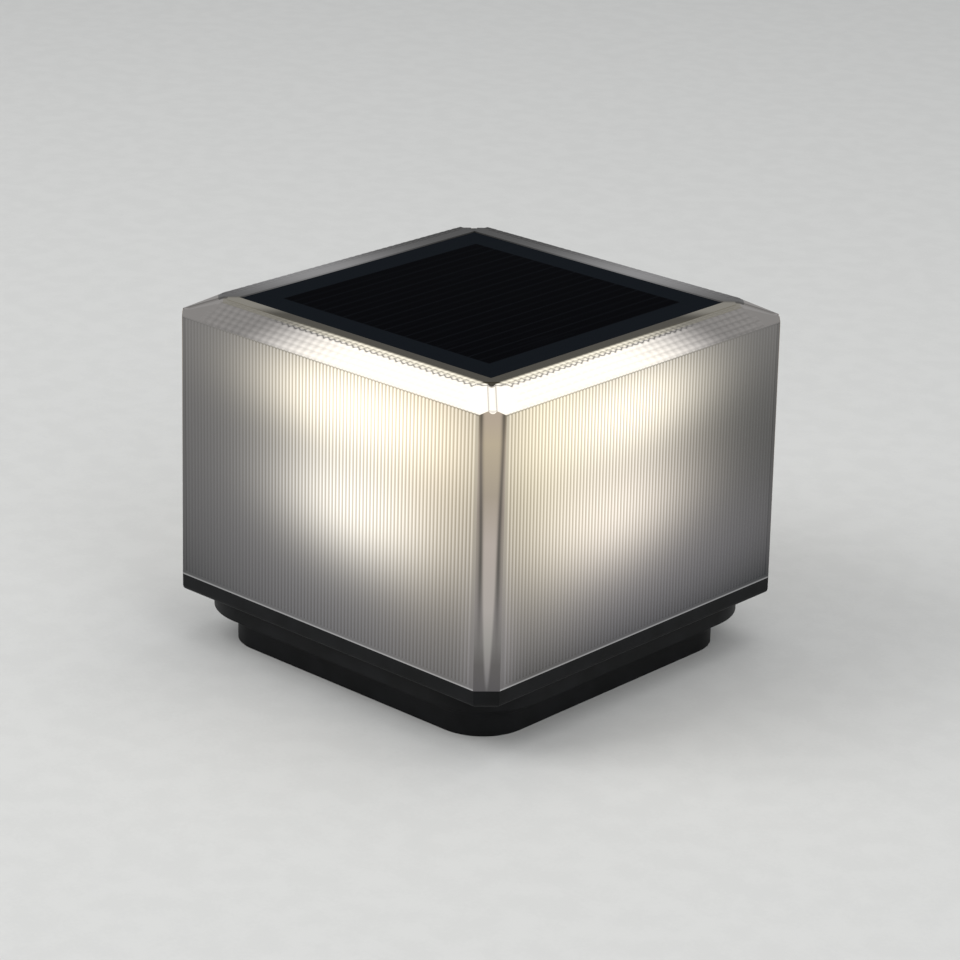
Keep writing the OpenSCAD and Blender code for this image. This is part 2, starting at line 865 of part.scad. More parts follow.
module battery_springs() {
    sides = 10;
    low_x = thin + spring_wire_d / 2 - contact_x;
    high_x = battery_x - battery_len / 2 - thin - spring_wire_d / 2;
    steps = sides * spring_turns;
    coil = [for (i = [0:steps]) let (a = 360 * i / sides) [
        low_x + (high_x - low_x) * i / steps,
        spring_d / 2 * cos(a), spring_d / 2 * sin(a)]];
    color("#b9bcc0")
    for (s = [-1, 1])
        translate([0, s * cell_pitch / 2, battery_z])
            tube_along(coil, spring_wire_d, 6, [1, 0, 0]);
}

module battery_contacts() {
    color("#c3c6ca")
    for (s = [-1, 1])
        translate([s * (contact_x + contact_t / 2), 0, battery_z])
            cube([contact_t, cell_pitch + contact_w, contact_w], center = true);
}

module battery_hatch() {
    hatch_rib_h = battery_z - hatch_z - hatch_t - battery_d / 4;
    color(black_plastic)
    difference() {
        union() {
            translate([0, 0, hatch_z + hatch_t / 2]) cube([case_x, case_y, hatch_t], center = true);
            for (s = [-1, 1])
                translate([s * hatch_screw_x, 0, hatch_z]) cylinder(d = screw_boss_d, h = hatch_t);
            for (s = [-1, 1])
                translate([s * hatch_rib_x, 0, hatch_z + hatch_t - touch + hatch_rib_h / 2])
                    cube([hatch_rib_w, case_in_y - 2 * hatch_rib_gap, hatch_rib_h], center = true);
        }
        for (s = [-1, 1])
            translate([s * hatch_screw_x, 0, 0]) cylinder(d = screw_d + 2 * hole_gap, h = big);
        for (s = [-1, 1])
            translate([0, s * cell_pitch / 2, battery_z])
                rotate([0, 90, 0])
                    cylinder(d = battery_d + battery_play, h = battery_len, center = true);
    }
}

module hatch_seal() {
    color("#5a5b5d")
    difference() {
        translate([0, 0, hatch_seal_z + hatch_seal_t / 2])
            cube([case_x, case_y, hatch_seal_t], center = true);
        translate([0, 0, hatch_seal_z])
            cube([case_in_x, case_in_y, 3 * hatch_seal_t], center = true);
        for (s = [-1, 1])
            translate([s * hatch_screw_x, 0, 0]) cylinder(d = screw_boss_d + 2 * thin, h = big);
    }
}

module hatch_screws() {
    color("#9a9c9f")
    for (s = [-1, 1])
        translate([s * hatch_screw_x, 0, hatch_z])
            rotate([180, 0, 0])
                pan_screw(pilot_d - thin, screw_head_d, head_t, hatch_t + hatch_grip);
}

// Switch, vent and grommet

module switch_body() {
    color("#222326")
    translate([0, switch_y, 0])
        difference() {
            union() {
                translate([0, 0, barrel_low_z])
                    cylinder(d = barrel_d, h = switch_flange_z - barrel_low_z + touch);
                translate([0, 0, switch_flange_z]) cylinder(d = switch_flange_d, h = switch_flange_t);
                translate([0, 0, switch_box_z + (switch_box_h - touch) / 2])
                    cube([switch_box_w, switch_box_w, switch_box_h + touch], center = true);
                for (s = [-1, 1])
                    translate([s * terminal_x, 0, terminal_z + (terminal[2] - touch) / 2])
                        cube([terminal[0], terminal[1], terminal[2] + touch], center = true);
            }
            translate([0, 0, barrel_low_z - 1])
                cylinder(d = button_d + 2 * button_gap, h = collar_z - barrel_low_z + 2);
            translate([0, 0, collar_z]) cylinder(d = collar_d + 2 * hole_gap, h = chamber_h);
        }
}

module switch_seal() {
    color("#5a5b5d")
    translate([0, switch_y, deck_z])
        difference() {
            cylinder(d = switch_flange_d, h = switch_seal_t);
            translate([0, 0, -1]) cylinder(d = barrel_d + 2 * hole_gap, h = switch_seal_t + 2);
        }
}

module switch_nut() {
    color("#222326")
    translate([0, switch_y, deck_under_z - nut_t])
        difference() {
            cylinder(d = switch_flange_d, h = nut_t, $fn = 6);
            translate([0, 0, -1]) cylinder(d = barrel_d + 2 * thin, h = nut_t + 2);
        }
}

module switch_button() {
    r = button_d / 2;
    color("#c9302c")
    translate([0, switch_y, 0])
        rotate_extrude()
            polygon(concat(
                [[0, button_low_z]],
                [for (a = [15:15:90]) [r * sin(a), button_low_z + button_crown * (1 - cos(a))]],
                [[r, collar_z + touch], [collar_d / 2, collar_z + touch],
                 [collar_d / 2, collar_z + collar_t], [0, collar_z + collar_t]]));
}

module vent_plug() {
    color("#2d2f32")
    translate([0, -switch_y, 0])
        difference() {
            union() {
                translate([0, 0, deck_under_z - vent_cap_t]) cylinder(d = vent_cap_d, h = vent_cap_t);
                translate([0, 0, deck_under_z - touch])
                    cylinder(d = vent_d - 2 * thin, h = deck_t + vent_proud);
            }
            for (a = [0, 60, 120])
                rotate([0, 0, a])
                    translate([0, 0, deck_under_z - vent_cap_t / 2])
                        cube([2 * vent_cap_d, vent_slot_w, vent_slot_h], center = true);
        }
}

module lead_grommet() {
    color("#2a2b2d")
    difference() {
        union() {
            translate([0, 0, deck_under_z]) cylinder(d = grommet_d - 2 * thin, h = deck_t + touch);
            translate([0, 0, deck_z]) cylinder(d = grommet_d + 2 * grommet_lip_w, h = grommet_lip_t);
        }
        translate([0, 0, deck_under_z - 1]) cylinder(d = grommet_bore_d, h = deck_t + 3);
    }
}

// Solar panel

back_z = pocket_z + foam_t;
glass_z = back_z + back_t;
cell_z = glass_z - cell_t - ribbon_t;
cell_pitch_x = cell_field_w / cell_count;
foam_inset = 0.5;

module panel_foam() {
    color("#3a3b3d")
    square_ring(panel_w - 2 * foam_inset, panel_w - 2 * foam_inset - 2 * foam_w, pocket_z, back_z);
}

module panel_back() {
    color("#15171a")
    difference() {
        translate([0, 0, back_z + back_t / 2]) cube([panel_w, panel_w, back_t], center = true);
        translate([0, 0, cell_z + back_t / 2])
            cube([cell_field_w, cell_field_w, back_t], center = true);
    }
}

module solar_cells() {
    color("#0c0f18")
    for (i = [0:cell_count - 1])
        translate([(i + 0.5) * cell_pitch_x - cell_field_w / 2, 0, cell_z + cell_t / 2])
            cube([cell_pitch_x - cell_gap, cell_field_w - 2 * cell_gap, cell_t], center = true);
}

module cell_ribbons() {
    color("#8f9296")
    for (i = [0:cell_count - 1])
        translate([(i + 0.5) * cell_pitch_x - cell_field_w / 2, 0, cell_z + cell_t + ribbon_t / 2])
            cube([ribbon_w, cell_field_w - 2 * cell_gap, ribbon_t], center = true);
}

module panel_glass() {
    chamfer = 0.3;
    top_z = glass_z + glass_t;
    color("#101216")
    intersection() {
        translate([0, 0, glass_z + glass_t / 2]) cube([panel_w, panel_w, glass_t], center = true);
        four_slopes([
            [panel_w / 2, glass_z - 1], [panel_w / 2, top_z - chamfer], [panel_w / 2 - chamfer, top_z]]);
    }
}

// Leads inside the head; their points are [across, out, up]

panel_lead_points = [
    [0, 0, back_z], [0, 0, back_z - 20], [0, 0, socket_top_z + 55],
    [-1, -2, socket_top_z + 30], [-4, -9, socket_top_z + 14],
    [panel_socket_x, socket_y, socket_top_z + 6], [panel_socket_x, socket_y, socket_top_z + 1],
    [panel_socket_x, socket_y, socket_top_z]];
module panel_leads() {
    color("#a03030")
    for (s = [-1, 1])
        translate([s * (lead_d / 2 + 0.3), 0, 0])
            tube_along(smooth(panel_lead_points, 4), wire_d, 8, [1, 0, 0]);
}

light_lead_points = [
    [0, socket_y, socket_top_z], [0, socket_y, socket_top_z + 1], [0, socket_y, socket_top_z + 8],
    [0, 12 - core_half, lead_hole_z - 12], [0, 8 - core_half, lead_hole_z - 3],
    [0, 5 - core_half, lead_hole_z], [0, 1 - core_half, lead_hole_z], [0, -core_half, lead_hole_z]];
module light_leads() {
    color("#d8d8d4")
    for (a = [0:90:270])
        rotate([0, 0, a])
            translate([light_lead_x, 0, 0])
                tube_along(smooth(light_lead_points, 3), thin_wire_d, 8, [1, 0, 0]);
}

battery_lead_points = [
    [-contact_x, 0, battery_z + 4], [1 - contact_x, 0, battery_z + 4],
    [6 - contact_x, 0, battery_z + 7],
    [-22, 0, battery_z + 8.2], [-9, 0, battery_z + 8.2], [-3, 0, battery_z + 9.5],
    [-lead_d / 2 - 0.2, 0, deck_under_z + 1], [-lead_d / 2 - 0.2, 0, deck_z + 3],
    [-lead_d / 2 - 0.2, 0, board_z - 1], [-lead_d / 2 - 0.2, 0, board_z]];
module battery_leads() {
    color("#303236")
    for (a = [0, 180])
        rotate([0, 0, a])
            tube_along(smooth(battery_lead_points, 3), wire_d, 8, [0, 1, 0]);
}

terminal_top_z = terminal_z + terminal[2];
switch_lead_points = [
    [0, switch_y, terminal_top_z], [0, switch_y, terminal_top_z + 1],
    [0, switch_y - 2, terminal_top_z + 4], [0, switch_y - 6, terminal_top_z + 4.5],
    [0, switch_y - 10.5, terminal_top_z - 1],
    [0, core_half + 10, deck_z + 7], [0, core_half + 4, deck_z + 3.5],
    [0, core_half - 1, deck_z + 3.2], [0, core_half - 7, deck_z + 4],
    [0, core_half - 10, board_z - 1], [0, core_half - 10, board_z]];
module switch_leads() {
    color("#303236")
    for (s = [-1, 1])
        translate([s * terminal_x, 0, 0])
            tube_along(smooth(switch_lead_points, 3), thin_wire_d, 8, [1, 0, 0]);
}

mounting_foot();
foot_seal();
lock_screws();
base_plate();
diffuser_seal();
diffuser();
diffuser_screws();
light_core();
core_screws();
light_boards();
light_board_screws();
leds();
control_board();
control_board_screws();
board_parts();
battery_cells();
battery_springs();
battery_contacts();
battery_hatch();
hatch_seal();
hatch_screws();
switch_body();
switch_seal();
switch_nut();
switch_button();
vent_plug();
lead_grommet();
panel_foam();
panel_back();
solar_cells();
cell_ribbons();
panel_glass();
panel_leads();
light_leads();
battery_leads();
switch_leads();
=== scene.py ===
# %% [markdown]
# A square solar light for the top of a wall or pillar: a reeded translucent diffuser over a black base
# plate, a solar panel let into its bevelled top, and a flared foot below.
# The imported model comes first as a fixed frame. Every piece below takes its place from it, so nothing
# has to be fitted afterwards.

import math

import bmesh
import bpy
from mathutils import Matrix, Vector


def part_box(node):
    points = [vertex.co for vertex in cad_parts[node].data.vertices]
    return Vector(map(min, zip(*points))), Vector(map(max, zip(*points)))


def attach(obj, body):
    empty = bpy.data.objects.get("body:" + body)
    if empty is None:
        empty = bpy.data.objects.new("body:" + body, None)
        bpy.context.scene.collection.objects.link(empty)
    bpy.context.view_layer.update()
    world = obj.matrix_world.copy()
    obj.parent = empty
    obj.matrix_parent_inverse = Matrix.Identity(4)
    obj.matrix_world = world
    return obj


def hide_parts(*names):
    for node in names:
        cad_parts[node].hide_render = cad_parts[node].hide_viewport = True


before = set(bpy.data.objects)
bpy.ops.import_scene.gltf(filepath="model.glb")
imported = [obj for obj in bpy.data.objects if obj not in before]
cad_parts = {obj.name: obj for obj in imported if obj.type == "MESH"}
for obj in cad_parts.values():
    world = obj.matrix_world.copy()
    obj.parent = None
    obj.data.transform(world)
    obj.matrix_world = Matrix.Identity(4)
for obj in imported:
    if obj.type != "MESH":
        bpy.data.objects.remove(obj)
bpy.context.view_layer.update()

# %% [markdown]
# Sizes are written in millimetres and turned to metres once. Those that the frame knows are read from
# it, so the shell made here always meets the solids round it. Like most deep mouldings the shell leans
# in by a fraction of a degree, so that it lets go of its mould.

# %% Sizes of the lamp
MM = 0.001
root2 = math.sqrt(2)
shell_low, shell_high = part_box("diffuser")
_, panel_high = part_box("panel_glass")

lamp_half = shell_high.x
rim_z = shell_low.z
lip_z = shell_high.z
draft = 0.7 * MM
bevel_h = 7.7 * MM
corner_cut = 7.9 * MM
wall_t = 3 * MM
panel_gap = 0.3 * MM
lip_w = 9.9 * MM
flat_lip_w = 6 * MM
pocket_depth = 4.2 * MM
shelf_t = 2.5 * MM

wall_top_z = lip_z - bevel_h
pocket_half = panel_high.x + panel_gap
lip_half = pocket_half + lip_w
step_half = pocket_half + flat_lip_w
pocket_z = lip_z - pocket_depth
shelf_z = pocket_z - shelf_t
facet_half = corner_cut / root2
lean = draft / (wall_top_z - rim_z)
top_half = lamp_half - draft
bevel_slope = (lip_z - wall_top_z) / (top_half - lip_half)
bevel_angle = math.atan(bevel_slope)
print("bevel falls", round(math.degrees(bevel_angle), 1), "degrees")

# %% [markdown]
# The camera stands where the photograph was taken from: the front corner a little right of the middle,
# about 21 degrees above the horizon, with a long lens. It is made first, because all else is judged
# through it.

# %% Camera
azimuth = math.radians(42.650)
elevation = math.radians(20.628)
roll = math.radians(1.273)
eye = Vector((955.318, -1035.877, 608.625)) * MM
back = Vector((math.sin(azimuth) * math.cos(elevation), -math.cos(azimuth) * math.cos(elevation),
               math.sin(elevation)))
level_right = Vector((math.cos(azimuth), math.sin(azimuth), 0))
level_up = back.cross(level_right)

camera_data = bpy.data.cameras.new("camera")
camera_data.sensor_width = 36
camera_data.lens = 122.615
camera_data.clip_start = 0.01
camera = bpy.data.objects.new("camera", camera_data)
bpy.context.scene.collection.objects.link(camera)
turn = camera.matrix_world.to_3x3()
turn.col[0] = level_right * math.cos(roll) + level_up * math.sin(roll)
turn.col[1] = level_up * math.cos(roll) - level_right * math.sin(roll)
turn.col[2] = back
camera.matrix_world = turn.to_4x4()
camera.location = eye
bpy.context.scene.camera = camera
print("camera at", [round(v, 3) for v in camera.location])

# %% [markdown]
# Two helpers carry all the node work. The first turns a colour as a designer writes it, in sRGB hex,
# into the linear values that Blender's nodes expect. The second adds one node, sets its options and
# joins its inputs. It serves shaders and Geometry Nodes alike, so every tree below reads the same way.

# %% Helpers for colours and nodes
def linear(code):
    channels = [int(code[i:i + 2], 16) / 255 for i in (1, 3, 5)]
    return [c / 12.92 if c <= 0.04045 else ((c + 0.055) / 1.055) ** 2.4 for c in channels] + [1]


def add(tree, kind, inputs=None, **options):
    node = tree.nodes.new(kind)
    for name, value in options.items():
        setattr(node, name, value)
    for key, value in (inputs or {}).items():
        value = getattr(value, "socket", value)
        if isinstance(value, bpy.types.Node):
            value = value.outputs[0]
        if isinstance(value, bpy.types.NodeSocket):
            tree.links.new(value, node.inputs[key])
        else:
            node.inputs[key].default_value = value
    return node


# %% [markdown]
# Most rules below are plain sums on values that change from point to point. Long chains of Math nodes
# are hard to read, so a small class holds a tree and a socket, and its operators add the nodes. A rule
# then reads as it would on paper, for numbers and for colours and places alike. The soft step and the
# thin bell-shaped line draw nearly every pattern here, so they are methods too.

# %% Sums on sockets
def is_vector(value):
    return isinstance(value, (tuple, list)) or getattr(value, "vector", False)


class Field:
    def __init__(self, tree, source, vector=False):
        self.tree = tree
        self.socket = source.outputs[0] if isinstance(source, bpy.types.Node) else source
        self.vector = vector

    def joined(self, operation, *terms):
        vector = any(is_vector(term) for term in terms)
        kind = "ShaderNodeVectorMath" if vector else "ShaderNodeMath"
        node = add(self.tree, kind, dict(enumerate(terms)), operation=operation)
        return Field(self.tree, node, vector)

    def math(self, operation, *others):
        return self.joined(operation, self, *others)

    def __add__(self, other):
        return self.joined("ADD", self, other)

    def __sub__(self, other):
        return self.joined("SUBTRACT", self, other)

    def __rsub__(self, other):
        return self.joined("SUBTRACT", other, self)

    def __truediv__(self, other):
        return self.joined("DIVIDE", self, other)

    def __mul__(self, other):
        if is_vector(self) == is_vector(other):
            return self.joined("MULTIPLY", self, other)
        vector, number = (self, other) if is_vector(self) else (other, self)
        node = add(self.tree, "ShaderNodeVectorMath", {0: vector, "Scale": number}, operation="SCALE")
        return Field(self.tree, node, True)

    __radd__ = __add__
    __rmul__ = __mul__

    def __abs__(self):
        return self.joined("ABSOLUTE", self)

    def parts(self):
        return [Field(self.tree, part) for part in add(self.tree, "ShaderNodeSeparateXYZ", {0: self}).outputs]

    def fade(self, low, high):
        step = {0: self, 1: low, 2: high, 3: 0.0, 4: 1.0}
        return Field(self.tree, add(self.tree, "ShaderNodeMapRange", step, interpolation_type="SMOOTHSTEP"))

    def bell(self, at, width):
        offset = (self - at) / width
        return (offset * offset * -1.0).math("EXPONENT")

    def between(self, low, high):
        mix = add(self.tree, "ShaderNodeMix", {0: self, 4: low, 5: high}, data_type="VECTOR")
        return Field(self.tree, mix.outputs[1], True)


# %% [markdown]
# Every material starts from an empty tree and reads its piece's own space in millimetres, so that a
# pattern keeps its real size and moves with its piece.

# %% Helpers for materials and pieces
def new_material(name):
    material = bpy.data.materials.new(name)
    material.use_nodes = True
    material.node_tree.nodes.clear()
    return material, material.node_tree


def millimetres(tree):
    coords = add(tree, "ShaderNodeTexCoord").outputs
    return Field(tree, coords["Object"], True) * (1 / MM), Field(tree, coords["Normal"], True)


def new_piece(name, mesh, body, nodes=()):
    piece = bpy.data.objects.new(name, mesh)
    bpy.context.scene.collection.objects.link(piece)
    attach(piece, body)
    if nodes:
        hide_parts(*nodes)
    print(name, "has", sum(len(p.vertices) - 2 for p in mesh.polygons), "triangles")
    return piece


# %% [markdown]
# The diffuser is one injection-moulded shell of translucent plastic. It could be built from boxes with
# booleans, but every level of it is the same outline of four sides and four corners, so it is lofted: a
# ring of points is written for each level and neighbouring rings are joined by faces. Going up the
# outside, over the lip, down into the panel's pocket, through the hole for the panel's leads and down
# the inside brings the last ring back to the first, and the shell is closed.

# %% Sizes of the reeds and hips
smooth_strip = 2.4 * MM
reed_count = 85
reed_depth = 0.5 * MM
field_half = lamp_half - corner_cut - smooth_strip
reed_pitch = 2 * field_half / reed_count
reed_low_z = rim_z + 2 * MM
reed_high_z = wall_top_z - 0.3 * MM
groove_r = 1.7 * MM
groove_lift = 0.6 * MM
groove_laterals = [v * MM for v in (-1.6, -1.3, -0.7, 0, 0.7, 1.3, 1.6)]
hip_lip_half = 7.5 * MM
hip_end_half = 2.1 * MM
hip_end_z = wall_top_z + bevel_slope * (facet_half - hip_end_half) / root2
print("reeds every", round(reed_pitch / MM, 2), "mm")

# %% [markdown]
# A ring lists one side's six points and then nine points across the corner: two shoulders of the hip's
# facet and seven on the round groove that runs down the hip. Turning the list by quarters gives the
# other three sides. The rings differ only in their width, height, corner and the depth of the groove.

# %% Rings of the shell
def all_round(side_points):
    turns = ((1, 0), (0, 1), (-1, 0), (0, -1))
    return [(x * c - y * s, x * s + y * c, z) for c, s in turns for x, y, z in side_points]


def groove_depth(lateral):
    return math.sqrt(max(groove_r ** 2 - lateral ** 2, 0)) - groove_lift


def ring(half, z, corner, shoulder, shoulder_z=None, recess=0.0, groove=0.0, square=False):
    shoulder_z = z if shoulder_z is None else shoulder_z
    corner_x = half - corner * root2
    run = min(field_half, corner_x)
    points = [(-corner_x, -half, z), (-run, -half, z), (-run, recess - half, z), (run, recess - half, z),
              (run, -half, z), (corner_x, -half, z)]
    for lateral in [-shoulder] + groove_laterals + [shoulder]:
        diag = root2 * half - (abs(lateral) if square else corner)
        depth = groove * groove_depth(lateral) if abs(lateral) < shoulder else 0
        points.append(((diag + lateral) / root2, (lateral - diag) / root2, shoulder_z - depth))
    return all_round(points)


def wall_half(z):
    return lamp_half - lean * (z - rim_z)


def circle_ring(radius, z, pattern):
    return [(radius * x / math.hypot(x, y), radius * y / math.hypot(x, y), z) for x, y, _ in pattern]


# %% [markdown]
# The lip is flat and level with the frame's highest point. Its outer part lies a little lower, which
# gives the small scales that are moulded there room to stand without rising above the lip.

# %% Loft the shell
scale_step = 0.3 * MM
scale_room = 1.6 * MM
edge_half = lip_half + scale_step / bevel_slope
edge_corner = hip_lip_half + 0.3 * MM
step_corner = root2 * step_half - (root2 * lip_half - hip_lip_half) + scale_room
lead_hole_r = 4 * MM
inner_half = lamp_half - wall_t
inner_corner = facet_half - wall_t * (root2 - 1)
slope_top_z = wall_top_z + bevel_slope * wall_t - wall_t * math.sqrt(1 + bevel_slope ** 2)
inner_top_half = top_half - wall_t
shelf_half = inner_top_half - (shelf_z - slope_top_z) / bevel_slope
pocket_corner = 2.4 * MM
pocket_shoulder = 2 * MM
pocket_ring = ring(pocket_half, lip_z, pocket_corner, pocket_shoulder, square=True)
pocket_floor = ring(pocket_half, pocket_z, pocket_corner, pocket_shoulder, square=True)

rings = [
    ring(lamp_half, rim_z, facet_half, hip_end_half),
    ring(wall_half(reed_low_z), reed_low_z, facet_half, hip_end_half),
    ring(wall_half(reed_low_z), reed_low_z, facet_half, hip_end_half, recess=reed_depth),
    ring(wall_half(reed_high_z), reed_high_z, facet_half, hip_end_half, recess=reed_depth),
    ring(wall_half(reed_high_z), reed_high_z, facet_half, hip_end_half),
    ring(top_half, wall_top_z, facet_half, hip_end_half, hip_end_z, groove=1),
    ring(edge_half, lip_z - scale_step, edge_corner, edge_corner, groove=1),
    ring(step_half, lip_z - scale_step, step_corner, hip_end_half),
    ring(step_half, lip_z, step_corner, hip_end_half),
    pocket_ring,
    pocket_floor,
    circle_ring(lead_hole_r, pocket_z, pocket_floor),
    circle_ring(lead_hole_r, shelf_z, pocket_floor),
    ring(shelf_half, shelf_z, inner_corner, hip_end_half),
    ring(inner_top_half, slope_top_z, inner_corner, hip_end_half),
    ring(inner_half, rim_z, inner_corner, hip_end_half),
]
shell = bmesh.new()
grid = [[shell.verts.new(p) for p in level] for level in rings]
for low, high in zip(grid, grid[1:] + grid[:1]):
    for i in range(len(low)):
        j = (i + 1) % len(low)
        shell.faces.new((low[i], low[j], high[j], high[i]))
bmesh.ops.remove_doubles(shell, verts=shell.verts, dist=1e-6)
print("shell:", len(rings), "rings of", len(rings[0]), "points")

# %% [markdown]
# Four tapered posts stand inside the corners and take the screws from below. In the photograph each is
# seen through its corner as a lighter strip that narrows downwards. A post is a turned profile, so it
# is spun from a list of radii and heights and left as a closed solid that runs into the shelf.

# %% Screw posts
post_end_r = 3 * MM
post_top_r = 4.8 * MM
pilot_r = 1.25 * MM
pilot_h = 12 * MM
post_gap = 0.4 * MM
post_at = lamp_half - (facet_half + wall_t + post_end_r + post_gap) / root2
post_top_z = shelf_z + 1 * MM
post_sides = 24
post_profile = [(0, rim_z + pilot_h), (pilot_r, rim_z + pilot_h), (pilot_r, rim_z), (post_end_r, rim_z),
                (post_top_r, post_top_z), (0, post_top_z)]


def add_turned(target, profile, centre):
    loops = []
    for k in range(post_sides):
        angle = 2 * math.pi * k / post_sides
        loops.append([target.verts.new((centre[0] + r * math.cos(angle), centre[1] + r * math.sin(angle), z))
                      for r, z in profile])
    for one, two in zip(loops, loops[1:] + loops[:1]):
        for i in range(len(profile) - 1):
            target.faces.new((one[i], two[i], two[i + 1], one[i + 1]))
    bmesh.ops.remove_doubles(target, verts=[v for loop in loops for v in loop], dist=1e-6)


for x in (-1, 1):
    for y in (-1, 1):
        add_turned(shell, post_profile, (x * post_at, y * post_at))
bmesh.ops.recalc_face_normals(shell, faces=shell.faces)
shell_mesh = bpy.data.meshes.new("diffuser_shell")
shell.to_mesh(shell_mesh)
shell.free()
print("posts at", round(post_at / MM, 2), "mm")

# %% [markdown]
# Reeds are the fine upright ribs that hide the lights. There are 85 on each side, all alike, so they
# are made by Geometry Nodes: a short cylinder is bent by a rule into one reed, with a parabola for its
# crest and a rounded upper end, then set along a line and turned round the four sides. The shell's wall
# lies back by the reed's depth there, so that the crests end flush with the rim.

# %% Node trees: start, end and the four sides
def new_tree(name, sizes):
    tree = bpy.data.node_groups.new(name, "GeometryNodeTree")
    tree.interface.new_socket("Geometry", in_out="OUTPUT", socket_type="NodeSocketGeometry")
    sizes = {**sizes, "Material": "Material"}
    for label, kind in sizes.items():
        tree.interface.new_socket(label, in_out="INPUT", socket_type="NodeSocket" + kind)
    given = add(tree, "NodeGroupInput").outputs
    return tree, {label: Field(tree, given[label]) for label in sizes}


def close_tree(tree, sizes, geometry):
    real = add(tree, "GeometryNodeRealizeInstances", {0: geometry})
    painted = add(tree, "GeometryNodeSetMaterial", {0: real, 2: sizes["Material"]})
    add(tree, "NodeGroupOutput", {0: painted})
    print(tree.name, "tree:", len(tree.nodes), "nodes")


def four_sides(tree, one_side):
    quarters = Field(tree, add(tree, "GeometryNodeInputIndex")) * (math.pi / 2)
    turns = add(tree, "ShaderNodeCombineXYZ", {2: quarters})
    spots = add(tree, "GeometryNodePoints", {0: 4})
    return add(tree, "GeometryNodeInstanceOnPoints", {0: spots, 2: one_side, 5: turns})


# %% Node tree of the reeds
reed_sides = 8
reed_levels = 6
reed_tip = 0.06
reeds, size = new_tree("reeds", {
    "Pitch": "Float", "Depth": "Float", "Seat": "Float", "Count": "Int", "Half width": "Float",
    "Low end": "Float", "High end": "Float", "Round end": "Float", "Lean": "Float"})

rod = add(reeds, "GeometryNodeMeshCylinder", {0: reed_sides, 1: reed_levels, 3: 1.0, 4: 1.0})
across, outward, upward = Field(reeds, add(reeds, "GeometryNodeInputPosition"), True).parts()
level = upward + 0.5
bend = ((level * reed_levels - 1.0) * (math.pi / 2 / (reed_levels - 1))).math("MAXIMUM", 0.0)
taper = bend.math("COSINE").math("MAXIMUM", reed_tip)
fall = (1.0 - bend.math("SINE")) * size["Round end"]
is_foot = level.math("LESS_THAN", 0.5 / reed_levels)
reed_z = (size["High end"] - fall) * (1.0 - is_foot) + size["Low end"] * is_foot
reed_x = across * taper * (size["Pitch"] * -0.5)
crest = outward.math("MAXIMUM", 0.0).math("POWER", 2.0) * size["Depth"] * taper
sunk = outward.math("MINIMUM", 0.0) * size["Seat"]
wall_y = size["Depth"] - size["Half width"] + (reed_z - size["Low end"]) * size["Lean"]
place = add(reeds, "ShaderNodeCombineXYZ", {0: reed_x, 1: wall_y - (crest + sunk), 2: reed_z})
reed = add(reeds, "GeometryNodeSetPosition", {0: rod, 2: place})
start = add(reeds, "ShaderNodeCombineXYZ", {0: (size["Count"] - 1.0) * -0.5 * size["Pitch"]})
step = add(reeds, "ShaderNodeCombineXYZ", {0: size["Pitch"]})
line = add(reeds, "GeometryNodeMeshLine", {"Count": size["Count"], "Start Location": start, "Offset": step})
close_tree(reeds, size, four_sides(reeds, add(reeds, "GeometryNodeInstanceOnPoints", {0: line, 2: reed})))

# %% [markdown]
# A tree does nothing until an object carries it. This helper hangs it on an empty mesh, gives each
# input by its identifier, evaluates it once and keeps the plain mesh that comes out. The object that
# carried the tree is thrown away, so no live modifier is left.

# %% Run a tree
def grown(tree, values):
    carrier = bpy.data.objects.new("carrier", bpy.data.meshes.new("carrier"))
    bpy.context.scene.collection.objects.link(carrier)
    modifier = carrier.modifiers.new("tree", "NODES")
    modifier.node_group = tree
    for item in tree.interface.items_tree:
        if item.in_out == "INPUT" and item.name in values:
            modifier[item.identifier] = values[item.name]
    bpy.context.view_layer.update()
    graph = bpy.context.evaluated_depsgraph_get()
    mesh = bpy.data.meshes.new_from_object(carrier.evaluated_get(graph), depsgraph=graph)
    bpy.data.objects.remove(carrier)
    return mesh


# %% [markdown]
# The bevel carries a prismatic pattern of small pillows in rows and columns, and the lip beside it two
# rows of finer ones. Each is a low pyramid with a flat top. A second tree lays them out in rows on a
# slope, leaves out those that would cross a hip, and turns the slope round the four sides. The lip's
# pillows use the same tree with a slope of nothing.

# %% Node tree of the prisms
prisms, size = new_tree("prisms", {
    "Pitch": "Float", "Row step": "Float", "Rows": "Int", "Columns": "Int", "First row": "Float",
    "Height": "Float", "Half run": "Float", "Edge y": "Float", "Edge z": "Float", "Slope": "Float",
    "Top share": "Float", "Fill": "Float"})

index = Field(prisms, add(prisms, "GeometryNodeInputIndex"))
dots = add(prisms, "GeometryNodePoints", {0: size["Rows"] * size["Columns"]})
row_number = ((index + 0.5) / size["Columns"]).math("FLOOR")
column = index - row_number * size["Columns"]
across = (column - (size["Columns"] - 1.0) * 0.5) * size["Pitch"]
upward = row_number * size["Row step"] + size["First row"]
run = upward * size["Slope"].math("COSINE")
lift = upward * size["Slope"].math("SINE")
spot = add(prisms, "ShaderNodeCombineXYZ", {0: across, 1: size["Edge y"] + run, 2: size["Edge z"] + lift})
placed = add(prisms, "GeometryNodeSetPosition", {0: dots, 2: spot})
hip_limit = {0: abs(across), 1: size["Half run"] - run}
inside = add(prisms, "FunctionNodeCompare", hip_limit, operation="LESS_THAN")
pyramid = add(prisms, "GeometryNodeMeshCone", {
    "Vertices": 4, "Side Segments": 1, "Radius Top": size["Top share"], "Radius Bottom": 1.0, "Depth": 1.0})
squared = add(prisms, "GeometryNodeTransform", {"Geometry": pyramid, "Rotation": (0, 0, math.pi / 4)})
corner_reach = size["Fill"] * (1 / root2)
